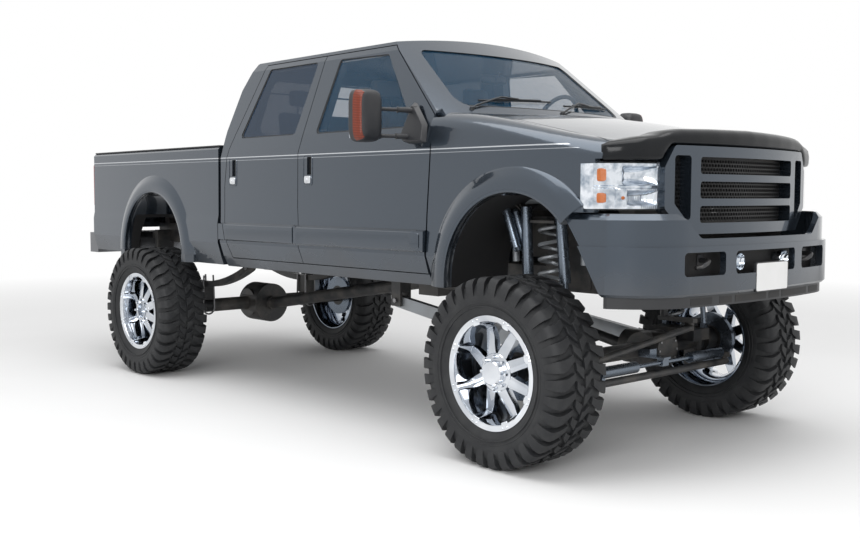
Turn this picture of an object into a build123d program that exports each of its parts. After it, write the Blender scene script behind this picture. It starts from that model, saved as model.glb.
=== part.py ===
from build123d import *
from math import cos, radians, sin, sqrt
import os

os.makedirs("parts", exist_ok=True)

# Lifted crew-cab pickup truck. Millimetres, X forward, Y to the left, Z up.
# The origin is on the ground under the middle of the overall box.

# Driving dimensions
wheelbase = 3967.0
front_overhang = 925.0
rear_overhang = 1290.0
overall_length = rear_overhang + wheelbase + front_overhang
front_x = overall_length / 2 - front_overhang
rear_x = front_x - wheelbase

# Clearances
seat_gap = 0.3
panel_gap = 6.0
swing_gap = 14.0

# Wheels and tyres
tyre_radius = 508.0
tyre_width = 394.0
lug_height = 17.0
lug_count = 34
lug_half = 28.0
rim_radius = 306.0
rim_width = 330.0
bead_radius = 284.0
wheel_y_front = 990.0
wheel_y_rear = 974.0
hub_inset = 88.0
spoke_count = 8
spoke_half = 28.0
hub_radius = 108.0
disc_radius = 172.0
disc_thick = 34.0
disc_back = hub_inset - 30 + disc_thick
axle_z = tyre_radius

# Body heights and walls
body_half_width = 1000.0
rocker_z = 915.0
door_bottom_z = 985.0
belt_z = 1840.0
crown_z = 2437.0
roof_drop = 47.0
lip_share = 0.3
door_inset = 60.0

# Side of the cab from the rocker to the roof edge: half width, height, wall thickness
side_rows = [
    (body_half_width - 70, rocker_z, 60),
    (body_half_width - 32, rocker_z + 75, 100),
    (body_half_width, rocker_z + 174, 130),
    (body_half_width + 2, rocker_z + 193, 132),
    (body_half_width + 16, rocker_z + 201, 146),
    (body_half_width + 16, rocker_z + 315, 146),
    (body_half_width - 8, rocker_z + 323, 122),
    (body_half_width - 10, rocker_z + 376, 120),
    (body_half_width - 15, rocker_z + 796, 115),
    (body_half_width - 50, belt_z, 90),
    (body_half_width - 200, belt_z + 490, 70),
    (body_half_width - 235, crown_z - roof_drop, 70),
]

# Cab stations, measured from the front axle
cab_back = front_x - 2919
cowl_x = front_x - 434
screen_bulge = 165.0
screen_half = 830.0
screen_base_z = 1905.0
screen_lean = 1.296
cab_floor_z = 1030.0
cab_floor = 45.0
rail_top_z = cab_floor_z - 0.3
cab_wall = 55.0
roof_thick = 45.0


def side_points(share, grow=0.0):
    """Points of the right-hand side section at a share of the wall's depth."""
    return [(-(half - wall * share + grow), z) for half, z, wall in side_rows]


def side_band(first_share, last_share, x_back, x_front, grow=0.0):
    """Right-hand wall of the cab between two depths, from x_back to x_front."""
    outer = side_points(first_share, grow)
    inner = side_points(last_share)
    with BuildPart() as band:
        with BuildSketch(Plane.YZ.offset(x_back)):
            with BuildLine():
                Polyline(*outer, *reversed(inner), close=True)
            make_face()
        extrude(amount=x_front - x_back)
    return band.part


def side_prism(points, grow=0.0, rounding=0.0, reach=1400.0):
    """Prism from a side outline in X and Z, from the middle plane to the right."""
    with BuildPart() as prism:
        with BuildSketch(Plane.XZ) as outline:
            with BuildLine():
                Polyline(*points, close=True)
            make_face()
            if rounding:
                fillet(outline.vertices(), rounding)
            if grow:
                offset(amount=grow, kind=Kind.INTERSECTION)
        extrude(amount=reach)
    return prism.part


def box_at(x0, x1, y0, y1, z0, z1):
    """Plain block between two corners."""
    with BuildPart() as block:
        with BuildSketch(Plane.XY.offset(z0)):
            with Locations(((x0 + x1) / 2, (y0 + y1) / 2)):
                Rectangle(x1 - x0, y1 - y0)
        extrude(amount=z1 - z0)
    return block.part


def side_box(side, x0, x1, y_in, y_out, z0, z1):
    """Block on one side, between two distances from the middle plane."""
    return box_at(x0, x1, min(side * y_in, side * y_out), max(side * y_in, side * y_out), z0, z1)


def rod(start, end, radius, bore=0.0):
    """Round bar or tube between two points."""
    line = Vector(*end) - Vector(*start)
    with BuildPart() as bar:
        with BuildSketch(Plane(origin=start, z_dir=line.normalized())):
            Circle(radius)
            if bore:
                Circle(bore, mode=Mode.SUBTRACT)
        extrude(amount=line.length)
    return bar.part


def both_sides(solid):
    """The right-hand solid and its mirror image on the left."""
    return [solid, solid.mirror(Plane.XZ)]


def write_part(solids, name):
    """Label one sub-part and write it."""
    with BuildPart() as piece:
        for solid in solids:
            add(solid)
    piece.part.label = name
    export_step(piece.part, "parts/" + name + ".step")


# Door and window outlines seen from the side: X from the front axle, height
rear_door_line = [
    (front_x - 2795, door_bottom_z),
    (front_x - 2862, 1250),
    (front_x - 2862, 1500),
    (front_x - 2824, 1768),
    (front_x - 2592, 2362),
    (front_x - 1890, 2362),
    (front_x - 1953, 1731),
    (front_x - 1953, 1349),
    (front_x - 1925, door_bottom_z),
]
front_door_line = [
    (front_x - 1925 + panel_gap, door_bottom_z),
    (front_x - 1953 + panel_gap, 1349),
    (front_x - 1953 + panel_gap, 1731),
    (front_x - 1890 + panel_gap, 2362),
    (front_x - 1180, 2362),
    (front_x - 674, 1904),
    (front_x - 649, 1749),
    (front_x - 676, 1313),
    (front_x - 682, door_bottom_z),
]
rear_window_line = [
    (front_x - 2712, 1842),
    (front_x - 2534, 2330),
    (front_x - 1960, 2330),
    (front_x - 2038, 1842),
]
front_window_line = [
    (front_x - 1801, 1838),
    (front_x - 1718, 2325),
    (front_x - 1225, 2312),
    (front_x - 840, 1838),
]
window_round = 28.0
glass_share = (0.12, 0.2)

# Cab shell
cab_side_line = [
    (cab_back, rocker_z),
    (cab_back, 1770),
    (cab_back + 5, 1901),
    (cab_back + 72, 2201),
    (cab_back + 180, 2384),
    (cab_back + 330, 2440),
    (front_x - 1000, 2440),
    (front_x - 434, screen_base_z),
    (front_x - 640, screen_base_z - 15),
    (front_x - 640, rocker_z),
]


def cab_form(share, x_back, x_front, roof_z, bottom_z):
    """Solid of the cab's section at a depth share, from x_back to x_front."""
    rows = side_points(share)
    right = [(y, z) for y, z in rows if bottom_z <= z < roof_z - 20]
    if right[0][1] > bottom_z:
        right.insert(0, (right[0][0], bottom_z))
    edge_y = right[-1][0]
    edge_z = right[-1][1]
    with BuildPart() as form:
        with BuildSketch(Plane.YZ.offset(x_back)):
            with BuildLine():
                Polyline(*right)
                ThreePointArc((edge_y, edge_z), (0, roof_z), (-edge_y, edge_z))
                Polyline(*[(-y, z) for y, z in reversed(right)])
                Line((-right[0][0], right[0][1]), right[0])
            make_face()
        extrude(amount=x_front - x_back)
    return form.part


def screen_prism(inset, reach):
    """Everything ahead of the windscreen's surface, leaning back as it rises."""
    base_x = cowl_x - inset
    lean = Vector(-screen_lean, 0, 1)
    low = 40.0
    start_z = screen_base_z - low
    shift = screen_lean * low
    with BuildPart() as ahead:
        with BuildSketch(Plane.XY.offset(start_z)):
            with BuildLine():
                ThreePointArc(
                    (base_x + shift - screen_bulge * 1.6, -screen_half * 1.265),
                    (base_x + shift, 0),
                    (base_x + shift - screen_bulge * 1.6, screen_half * 1.265),
                )
                Polyline(
                    (base_x + shift - screen_bulge * 1.6, screen_half * 1.265),
                    (base_x + reach, screen_half * 1.265),
                    (base_x + reach, -screen_half * 1.265),
                    (base_x + shift - screen_bulge * 1.6, -screen_half * 1.265),
                )
            make_face()
        extrude(amount=(620 + low) * lean.length, dir=lean)
    return ahead.part


def screen_band(front_inset, back_inset, reach):
    """Curved sheet along the windscreen, between two depths behind its surface."""
    with BuildPart() as band:
        add(screen_prism(back_inset, reach))
        add(screen_prism(front_inset, reach), mode=Mode.SUBTRACT)
    return band.part


screen_opening_line = [(-760, 1962), (-672, 2340), (672, 2340), (760, 1962)]
back_opening_line = [(-700, 1885), (-610, 2290), (610, 2290), (700, 1885)]


def end_prism(points, x0, x1, rounding, grow=0.0):
    """Prism from an outline in Y and Z, between two X stations."""
    with BuildPart() as prism:
        with BuildSketch(Plane.YZ.offset(x0)) as outline:
            with BuildLine():
                Polyline(*points, close=True)
            make_face()
            fillet(outline.vertices(), rounding)
            if grow:
                offset(amount=grow, kind=Kind.INTERSECTION)
        extrude(amount=x1 - x0)
    return prism.part


cab_outer = cab_form(0, cab_back - 10, front_x - 400, crown_z, rocker_z)
cab_inner = cab_form(1, cab_back - 20, front_x - 300, crown_z - roof_thick, cab_floor_z + cab_floor)

cab_inner_line = [
    (cab_back + cab_wall, cab_floor_z + cab_floor),
    (cab_back + cab_wall, 1790),
    (cab_back + cab_wall + 8, 1905),
    (cab_back + cab_wall + 75, 2205),
    (cab_back + cab_wall + 165, 2345),
    (cab_back + cab_wall + 300, 2460),
    (front_x - 1000, 2460),
    (front_x - 400, screen_base_z),
    (front_x - 700, screen_base_z - 60),
    (front_x - 700, cab_floor_z + cab_floor),
]
with BuildPart() as side_slab:
    with BuildSketch(Plane.XZ):
        with BuildLine():
            Polyline(*cab_side_line, close=True)
        make_face()
    extrude(amount=1400, both=True)
with BuildPart() as inner_slab:
    with BuildSketch(Plane.XZ):
        with BuildLine():
            Polyline(*cab_inner_line, close=True)
        make_face()
    extrude(amount=1400, both=True)

with BuildPart() as cab_room:
    add(cab_inner)
    add(inner_slab.part, mode=Mode.INTERSECT)
    add(screen_prism(cab_wall, 900), mode=Mode.SUBTRACT)

recess_share = 0.52
hood_half = 838.0
hood_rear_half = 810.0
hood_front_half = 884.0
hood_rear_gap = 42.0
cowl_z = 1900.0
cab_span = (cab_back - 50, front_x - 500)
fender_line = [
    (front_x - 676 + panel_gap, rocker_z),
    (front_x - 676 + panel_gap, 1313),
    (front_x - 649 + panel_gap, 1749),
    (front_x - 672 + panel_gap, 1890),
    (front_x - 655, 1912),
    (front_x - 655, 1980),
    (front_x + 900, 1980),
    (front_x + 900, 1360),
    (front_x + 340, 1352),
    (front_x + 300, 1300),
    (front_x + 300, rocker_z),
]


def hood_plan(grow, z0, z1):
    """Prism of the hood's outline seen from above; its rear edge follows the windscreen."""
    rear = cowl_x + hood_rear_gap - grow
    corner_x = rear - screen_bulge - 22 - grow * 0.6
    with BuildPart() as prism:
        with BuildSketch(Plane.XY.offset(z0)):
            with BuildLine():
                Polyline(
                    (corner_x, -(hood_rear_half + grow)),
                    (front_x + 420, -(hood_half + grow)),
                    (front_x + 540, -(hood_front_half + grow)),
                    (front_x + 900 + grow, -(hood_front_half + grow)),
                    (front_x + 900 + grow, hood_front_half + grow),
                    (front_x + 540, hood_front_half + grow),
                    (front_x + 420, hood_half + grow),
                    (corner_x, hood_rear_half + grow),
                )
                ThreePointArc(
                    (corner_x, hood_rear_half + grow),
                    (rear, 0),
                    (corner_x, -(hood_rear_half + grow)),
                )
            make_face()
        extrude(amount=z1 - z0)
    return prism.part


with BuildPart() as fender_place:
    add(side_prism(fender_line, grow=panel_gap - 0.5))
    add(side_band(0, 0.45, *cab_span, grow=60), mode=Mode.INTERSECT)
fender_seat = fender_place.part
with BuildPart() as cowl:
    add(box_at(front_x - 660, front_x - 385, -800, 800, cowl_z - 50, cowl_z))
    add(screen_prism(0, 900), mode=Mode.SUBTRACT)
    add(hood_plan(panel_gap, 1830, 2100), mode=Mode.SUBTRACT)
with BuildPart() as door_hole:
    for line in (rear_door_line, front_door_line):
        add(side_prism(line, grow=panel_gap))
    add(side_band(0, recess_share, *cab_span, grow=60), mode=Mode.INTERSECT)
with BuildPart() as door_room:
    for line in (rear_door_line, front_door_line):
        add(side_prism(line, grow=-door_inset + swing_gap))
    add(side_band(0, 1.6, *cab_span, grow=60), mode=Mode.INTERSECT)

# Hinge blocks on the pillars, in the gap ahead of each door's body: X, middle height
hinge_rows = [
    (front_x - 722, 1350),
    (front_x - 706, 1640),
    (front_x - 2004, 1350),
    (front_x - 2004, 1640),
]
hinge_half_height = 38.0
hinge_half_length = 24.0
with BuildPart() as hinge_blocks:
    for x, z in hinge_rows:
        low = z - hinge_half_height
        add(side_box(-1, x - hinge_half_length, x + hinge_half_length, 875, 918, low, z + hinge_half_height))
    for line in (rear_door_line, front_door_line):
        add(side_prism(line, grow=-door_inset + seat_gap), mode=Mode.SUBTRACT)

with BuildPart() as cab_shell:
    add(cab_outer)
    add(side_slab.part, mode=Mode.INTERSECT)
    add(screen_prism(0, 900), mode=Mode.SUBTRACT)
    add(cab_room.part, mode=Mode.SUBTRACT)
    add(box_at(cab_back - 50, front_x - 300, -840, 840, rocker_z - 20, cab_floor_z), mode=Mode.SUBTRACT)
    for cutter in both_sides(door_hole.part) + both_sides(door_room.part):
        add(cutter, mode=Mode.SUBTRACT)
    add(end_prism(screen_opening_line, front_x - 1300, front_x - 300, 60), mode=Mode.SUBTRACT)
    add(end_prism(back_opening_line, cab_back - 60, cab_back + 330, 60), mode=Mode.SUBTRACT)
    for cutter in both_sides(fender_seat):
        add(cutter, mode=Mode.SUBTRACT)
    for side in (-1, 1):
        add(side_box(side, front_x - 667, front_x - 600, 780, 1100, 1700, 1886), mode=Mode.SUBTRACT)
        add(side_box(side, front_x - 676, front_x - 600, 880, 1100, 900, 1030), mode=Mode.SUBTRACT)
        add(side_box(side, front_x - 676, front_x - 600, 940, 1100, 1020, 1300), mode=Mode.SUBTRACT)
        add(side_box(side, front_x - 584, front_x - 500, 800, 1100, 1850, 2000), mode=Mode.SUBTRACT)
    for block in both_sides(hinge_blocks.part):
        add(block)
    add(hood_plan(panel_gap, 1830, 2100), mode=Mode.SUBTRACT)
    add(cowl.part)
write_part([cab_shell.part], "cab_shell")

# Fixed glass
with BuildPart() as screen_glass:
    add(screen_band(14, 20, 700))
    add(
        end_prism(screen_opening_line, front_x - 1300, front_x - 300, 60, -seat_gap),
        mode=Mode.INTERSECT,
    )
with BuildPart() as back_glass:
    with BuildSketch(Plane.XZ):
        with BuildLine():
            Polyline(
                (cab_back + 22, 1870),
                (cab_back + 76, 2201),
                (cab_back + 118, 2310),
                (cab_back + 128, 2306),
                (cab_back + 84, 2197),
                (cab_back + 30, 1870),
                close=True,
            )
        make_face()
    extrude(amount=900, both=True)
    add(
        end_prism(back_opening_line, cab_back - 60, cab_back + 330, 60, -seat_gap),
        mode=Mode.INTERSECT,
    )
write_part([screen_glass.part, back_glass.part], "cab_glass")

# Doors: an outer lip over the full outline and a thick body inside it
handle_width = 46.0
handle_low_z = 1572.0
handle_top_z = 1688.0
handle_floor_y = 945.0
door_rows = [
    ("front", front_door_line, front_window_line, front_x - 1823),
    ("rear", rear_door_line, rear_window_line, front_x - 2740),
]
for place, line, window, handle_x in door_rows:
    with BuildPart() as door:
        add(side_prism(line))
        add(side_band(0, lip_share, *cab_span), mode=Mode.INTERSECT)
    with BuildPart() as door_body:
        add(side_prism(line, grow=-door_inset))
        add(side_band(lip_share / 2, 1, *cab_span), mode=Mode.INTERSECT)
    with BuildPart() as whole_door:
        add(door.part)
        add(door_body.part)
        add(side_prism(window, rounding=window_round), mode=Mode.SUBTRACT)
        handle_back = handle_x - handle_width / 2
        handle_front = handle_x + handle_width / 2
        add(
            box_at(handle_back, handle_front, -1100, -handle_floor_y, handle_low_z, handle_top_z),
            mode=Mode.SUBTRACT,
        )
    with BuildPart() as glass:
        add(side_prism(window, rounding=window_round, grow=-seat_gap))
        add(side_band(*glass_share, *cab_span), mode=Mode.INTERSECT)
    for side, turned in (("right", False), ("left", True)):
        panel = whole_door.part.mirror(Plane.XZ) if turned else whole_door.part
        pane = glass.part.mirror(Plane.XZ) if turned else glass.part
        write_part([panel], "door_" + place + "_" + side)
        write_part([pane], "glass_" + place + "_" + side)

# Mirrors on the front doors, each a head on two arms
mirror_x = front_x - 905
mirror_head = (110.0, 182.0, 300.0)
mirror_inner_y = 1157.0
mirror_z = 1893.0
mirror_arm_radius = 17.0
with BuildPart() as mirror_arms:
    with BuildSketch(Plane.YZ.offset(mirror_x - mirror_head[0] / 2)):
        with Locations((-(mirror_inner_y + mirror_head[1] / 2), mirror_z)):
            RectangleRounded(mirror_head[1], mirror_head[2], 45)
    extrude(amount=mirror_head[0])
    chamfer(mirror_arms.faces().sort_by(Axis.X)[-1].edges(), 32)
with BuildPart() as mirror_base:
    add(side_prism([
        (mirror_x - 10, 1800),
        (mirror_x + 60, 1990),
        (mirror_x + 205, 1845),
        (mirror_x + 215, 1735),
        (mirror_x + 60, 1735),
    ]))
    add(side_band(-0.35, 0.0, *cab_span), mode=Mode.INTERSECT)
with BuildPart() as mirror_right:
    add(mirror_arms.part)
    add(mirror_base.part)
    for arm_z in (mirror_z + 42, mirror_z - 112):
        skin_y = 985 if arm_z < belt_z - 60 else 952
        add(
            rod(
                (mirror_x + 75, -skin_y - 24, arm_z),
                (mirror_x, -mirror_inner_y - 40, arm_z),
                mirror_arm_radius,
            ),
        )
write_part([mirror_right.part], "mirror_right")
write_part([mirror_right.part.mirror(Plane.XZ)], "mirror_left")

# Front clip: one outer form, from the cowl to the nose
# Columns: X from the front axle, half width of side, shoulder z, hood edge z, hood crown z
nose_rows = [
    (-760, 987, 1800, 1915, 1925),
    (-60, 990, 1740, 1836, 1890),
    (460, 965, 1645, 1732, 1803),
    (830, 900, 1598, 1698, 1752),
]


def nose_form(skin):
    """Loft of the front clip's outer form, pulled in by a skin thickness."""
    with BuildPart() as form:
        for x, half, shoulder_z, edge_z, top_z in nose_rows:
            with BuildSketch(Plane.YZ.offset(front_x + x)):
                with BuildLine():
                    for side in (-1, 1):
                        Polyline(
                            (side * (half - 57 - skin), rocker_z),
                            (side * (half + 10 - skin), rocker_z + 174),
                            (side * (half - skin), rocker_z + 376),
                            (side * (half - 5 - skin), shoulder_z),
                        )
                        ThreePointArc(
                            (side * (half - 5 - skin), shoulder_z),
                            (side * (half - 38 - skin), (shoulder_z + edge_z * 2) / 3 - skin / 2),
                            (side * (half - 135), edge_z - skin),
                        )
                    ThreePointArc(
                        (-(half - 135), edge_z - skin),
                        (0, top_z - skin),
                        (half - 135, edge_z - skin),
                    )
                    Line((-(half - 57 - skin), rocker_z), (half - 57 - skin, rocker_z))
                make_face()
        loft()
    return form.part


def nose_plan(grow, z0, z1):
    """Prism of the nose as seen from above, with its rounded front."""
    side_y = 985 + grow
    corner = (front_x + 690 + grow * 0.7, 800 + grow * 0.7)
    shoulder = (front_x + 600 + grow * 0.5, 930 + grow * 0.8)
    with BuildPart() as prism:
        with BuildSketch(Plane.XY.offset(z0)):
            with BuildLine():
                Polyline(
                    (front_x + 480, -side_y),
                    (front_x + 470, -side_y - 120),
                    (front_x - 900, -side_y - 120),
                    (front_x - 900, side_y + 120),
                    (front_x + 470, side_y + 120),
                    (front_x + 480, side_y),
                )
                ThreePointArc((front_x + 480, side_y), shoulder, corner)
                ThreePointArc(corner, (front_x + 800 + grow, 0), (corner[0], -corner[1]))
                ThreePointArc((corner[0], -corner[1]), (shoulder[0], -shoulder[1]), (front_x + 480, -side_y))
            make_face()
        extrude(amount=z1 - z0)
    return prism.part


# Outline of the grille surround seen from the front
grille_half = 689.0
grille_low_z = 1244.0
grille_top_z = 1690.0
grille_line = [
    (-546, grille_low_z),
    (-grille_half, grille_low_z + 130),
    (-grille_half, grille_top_z - 110),
    (-624, grille_top_z),
    (624, grille_top_z),
    (grille_half, grille_top_z - 110),
    (grille_half, grille_low_z + 130),
    (546, grille_low_z),
]

skin = 40.0
hood_skin = 28.0
nose_outer = nose_form(0)
nose_inner = nose_form(skin)
with BuildPart() as nose_shell:
    add(nose_outer)
    add(nose_plan(0, 800, 2100), mode=Mode.INTERSECT)
    add(nose_inner, mode=Mode.SUBTRACT)


nose_lip_z = 1625.0
with BuildPart() as hood:
    add(nose_outer)
    add(nose_plan(-8, 800, 2100), mode=Mode.INTERSECT)
    add(hood_plan(0, nose_lip_z, 2100), mode=Mode.INTERSECT)
    add(nose_outer.moved(Location((0, 0, -hood_skin))), mode=Mode.SUBTRACT)
    add(end_prism(grille_line, front_x + 560, front_x + 1100, 28, panel_gap), mode=Mode.SUBTRACT)
write_part([hood.part], "hood")

# Fenders with their arch openings and inner aprons
arch_x = front_x - 10
arch_z = 965.0
arch_radius = 490.0
flare_width = 135.0
flare_root_y = 984.0
flare_proud = 32.0
flare_fall = 72.0
flare_depth = 60.0
lamp_low_z = 1365.0
lamp_top_z = 1605.0
lamp_back_x = 520.0
lamp_inner_y = 655.0


def arch_disc(radius, y_in, y_out):
    """Round plug through the right-hand wheel arch, flattened at its top."""
    with BuildPart() as plug:
        with BuildSketch(Plane.XZ.offset(y_in)):
            with Locations((arch_x, arch_z)):
                Circle(radius)
            with Locations((arch_x, arch_z - radius)):
                Rectangle(radius * 2, radius * 2)
        extrude(amount=y_out - y_in)
    return plug.part


def flare_form(mid_x, mid_z, radius):
    """Raised round form over an arch, full at its middle and falling to the body at its edge."""
    rim_half = radius - flare_fall
    with BuildPart() as form:
        with Locations(Plane(origin=(mid_x, -flare_root_y, mid_z), z_dir=(0, -1, 0))):
            Cone(radius, rim_half, flare_proud, align=(Align.CENTER, Align.CENTER, Align.MIN))
        with BuildSketch(Plane.XY.offset(mid_z - radius)):
            with BuildLine():
                Polyline(
                    (mid_x - radius, -flare_root_y),
                    (mid_x - rim_half, -flare_root_y - flare_proud),
                    (mid_x + rim_half, -flare_root_y - flare_proud),
                    (mid_x + radius, -flare_root_y),
                    close=True,
                )
            make_face()
        extrude(amount=radius)
        with BuildSketch(Plane.XZ.offset(flare_root_y - flare_depth)):
            with Locations((mid_x, mid_z)):
                Circle(radius)
            with Locations((mid_x, mid_z - radius / 2)):
                Rectangle(radius * 2, radius)
        extrude(amount=flare_depth)
    return form.part


with BuildPart() as fender:
    add(nose_shell.part)
    add(side_prism(fender_line), mode=Mode.INTERSECT)
    add(hood_plan(panel_gap, 1300, 2100), mode=Mode.SUBTRACT)
    add(
        box_at(front_x + lamp_back_x, front_x + 1000, -1100, 0, lamp_low_z - 20, lamp_top_z + 15),
        mode=Mode.SUBTRACT,
    )
    add(box_at(front_x + lamp_back_x + 40, front_x + 1000, -1100, 0, rocker_z - 50, 2000), mode=Mode.SUBTRACT)
    add(arch_disc(arch_radius, 300, 1200), mode=Mode.SUBTRACT)
    add(box_at(front_x - 900, front_x + 1000, -hood_rear_half + 5, 0, 1300, 2100), mode=Mode.SUBTRACT)
    add(box_at(front_x - 900, front_x - 580, -1100, 0, 1884, 2100), mode=Mode.SUBTRACT)
with BuildPart() as fender_flare:
    add(flare_form(arch_x, arch_z, arch_radius + flare_width))
    add(arch_disc(arch_radius, 800, 1200), mode=Mode.SUBTRACT)
    add(side_prism(fender_line, grow=-2), mode=Mode.INTERSECT)
with BuildPart() as fender_liner:
    add(arch_disc(arch_radius + 16, 490, 975))
    add(arch_disc(arch_radius, 300, 1200), mode=Mode.SUBTRACT)
    add(side_prism(fender_line, grow=-6), mode=Mode.INTERSECT)
with BuildPart() as fender_right:
    add(fender.part)
    add(fender_flare.part)
    add(fender_liner.part)
write_part(both_sides(fender_right.part), "fenders")

# Bed: side walls, front wall, floor with sills, wheel tubs
bed_back = rear_x - 1065
bed_front = cab_back - 34
bed_top_z = 1795.0
bed_floor_z = 1287.0
bed_floor = 38.0
bed_wall = 60.0
bed_side_wall = 150.0
bed_arch_x = rear_x + 25
bed_arch_z = 985.0
bed_arch_radius = 475.0
tub_inner_y = 640.0
tailgate_thick = 62.0
bed_rows = [
    (body_half_width - 50, rocker_z + 8),
    (body_half_width - 28, rocker_z + 75),
    (body_half_width, rocker_z + 174),
    (body_half_width, rocker_z + 320),
    (body_half_width - 10, rocker_z + 376),
    (body_half_width - 14, rocker_z + 796),
    (body_half_width - 14, bed_top_z - 22),
    (body_half_width - 34, bed_top_z),
]
bed_inner_y = body_half_width - 14 - bed_side_wall
tailgate_half = bed_inner_y - 30


def bed_plug(radius, y_in, y_out):
    """Round plug through the right-hand rear arch."""
    with BuildPart() as plug:
        with BuildSketch(Plane.XZ.offset(y_in)):
            with Locations((bed_arch_x, bed_arch_z)):
                Circle(radius)
            with Locations((bed_arch_x, bed_arch_z - radius)):
                Rectangle(radius * 2, radius * 2)
        extrude(amount=y_out - y_in)
    return plug.part


with BuildPart() as bed_side:
    with BuildSketch(Plane.YZ.offset(bed_back)):
        with BuildLine():
            Polyline(
                *[(-half, z) for half, z in bed_rows],
                (-bed_inner_y, bed_top_z),
                (-bed_inner_y, bed_floor_z - bed_floor),
                (-bed_inner_y - 20, bed_floor_z - bed_floor),
                (-bed_inner_y - 60, rocker_z + 8),
                close=True,
            )
        make_face()
    extrude(amount=bed_front - bed_back)
    add(box_at(bed_back - 10, bed_arch_x - bed_arch_radius + 60, -1100, 0, 800, 960), mode=Mode.SUBTRACT)
with BuildPart() as bed_flare:
    add(flare_form(bed_arch_x, bed_arch_z, bed_arch_radius + flare_width))
    add(box_at(bed_back + 20, bed_front - 10, -1200, 0, rocker_z + 8, 2000), mode=Mode.INTERSECT)
with BuildPart() as bed_tub:
    add(bed_plug(bed_arch_radius + 25, tub_inner_y, 930))
    add(box_at(bed_back, bed_front, -1200, 0, bed_floor_z - bed_floor, 2000), mode=Mode.INTERSECT)
with BuildPart() as bed_box:
    add(
        box_at(
            bed_back,
            bed_front,
            -bed_inner_y - 10,
            bed_inner_y + 10,
            bed_floor_z - bed_floor,
            bed_floor_z,
        ),
    )
    add(
        box_at(
            bed_front - bed_wall,
            bed_front,
            -bed_inner_y - 10,
            bed_inner_y + 10,
            bed_floor_z - bed_floor,
            bed_top_z,
        ),
    )
    add(box_at(bed_back + 78, bed_back + 118, -bed_inner_y - 10, bed_inner_y + 10, 1150, bed_floor_z - 5))
    for solid in both_sides(bed_side.part) + both_sides(bed_flare.part):
        add(solid)
    for solid in both_sides(bed_tub.part):
        add(solid)
    add(
        box_at(
            bed_back - 10,
            bed_back + tailgate_thick + panel_gap,
            -tailgate_half - panel_gap,
            tailgate_half + panel_gap,
            bed_floor_z - 70,
            bed_top_z + 50,
        ),
        mode=Mode.SUBTRACT,
    )
    add(
        box_at(
            bed_back,
            bed_back + 40,
            -bed_inner_y - 10,
            bed_inner_y + 10,
            1150,
            bed_floor_z - bed_floor - 20,
        ),
    )
    add(box_at(bed_back + 30, bed_back + 100, -bed_inner_y - 10, bed_inner_y + 10, 1150, 1170))
    for cutter in both_sides(bed_plug(bed_arch_radius, tub_inner_y + 20, 1200)):
        add(cutter, mode=Mode.SUBTRACT)
write_part([bed_box.part], "bed_box")

# Tailgate, hinged along its lower edge
tailgate_low_z = bed_floor_z - bed_floor - 10
with BuildPart() as tailgate:
    add(box_at(bed_back, bed_back + tailgate_thick, -tailgate_half, tailgate_half, tailgate_low_z, bed_top_z))
    fillet(tailgate.edges().filter_by(Axis.Y).sort_by(Axis.Z)[-2:], 14)
    add(box_at(bed_back - 1, bed_back + 22, -150, 150, bed_top_z - 190, bed_top_z - 110), mode=Mode.SUBTRACT)
    pin_y = tailgate_half + panel_gap - seat_gap
    add(rod((bed_back + 10, -pin_y, tailgate_low_z + 10), (bed_back + 10, pin_y, tailgate_low_z + 10), 8))
write_part([tailgate.part], "tailgate")

# Grille surround and its mesh
slot_half = 449.0
slot_height = 86.0
slot_pitch = 124.0
slot_mid_z = 1468.0
grille_depth = 70.0
mesh_thick = 10.0
side_slot_line = [
    (514, grille_low_z + 50),
    (560, grille_low_z + 50),
    (634, grille_low_z + 118),
    (634, grille_top_z - 48),
    (514, grille_top_z - 48),
]
with BuildPart() as grille_surround:
    with BuildSketch(Plane.YZ.offset(front_x + 600)) as outline:
        with BuildLine():
            Polyline(*grille_line, close=True)
        make_face()
        fillet(outline.vertices(), 28)
        with Locations(*[(0, slot_mid_z + row * slot_pitch) for row in (-1, 0, 1)]):
            RectangleRounded(slot_half * 2, slot_height, 16, mode=Mode.SUBTRACT)
        for side in (-1, 1):
            with BuildSketch(Plane.YZ.offset(front_x + 600), mode=Mode.PRIVATE) as side_slot:
                with BuildLine():
                    Polyline(*[(side * y, z) for y, z in side_slot_line], close=True)
                make_face()
                fillet(side_slot.vertices(), 18)
            add(side_slot.sketch, mode=Mode.SUBTRACT)
    extrude(amount=300)
    add(nose_plan(30, 1000, 2000), mode=Mode.INTERSECT)
    add(nose_plan(30 - grille_depth, 1000, 2000), mode=Mode.SUBTRACT)
write_part([grille_surround.part], "grille_surround")
with BuildPart() as grille_mesh:
    with BuildSketch(Plane.YZ.offset(front_x + 500)) as outline:
        with Locations((0, slot_mid_z)):
            RectangleRounded(1270, 350, 30)
    extrude(amount=400)
    add(nose_plan(30 - grille_depth - seat_gap, 1000, 2000), mode=Mode.INTERSECT)
    add(nose_plan(30 - grille_depth - seat_gap - mesh_thick, 1000, 2000), mode=Mode.SUBTRACT)
write_part([grille_mesh.part], "grille_mesh")

# Head lamps fill the corners beside the grille
with BuildPart() as lamp:
    add(
        box_at(
            front_x + lamp_back_x + panel_gap,
            front_x + 1000,
            -1000,
            -lamp_inner_y,
            lamp_low_z,
            lamp_top_z,
        ),
    )
    add(nose_plan(4, 1000, 2000), mode=Mode.INTERSECT)
    add(nose_plan(-120, 1000, 2000), mode=Mode.SUBTRACT)
    add(box_at(front_x + 560, front_x + 1100, -grille_half - panel_gap, 0, 1000, 2000), mode=Mode.SUBTRACT)
write_part(both_sides(lamp.part), "head_lamps")

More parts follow.
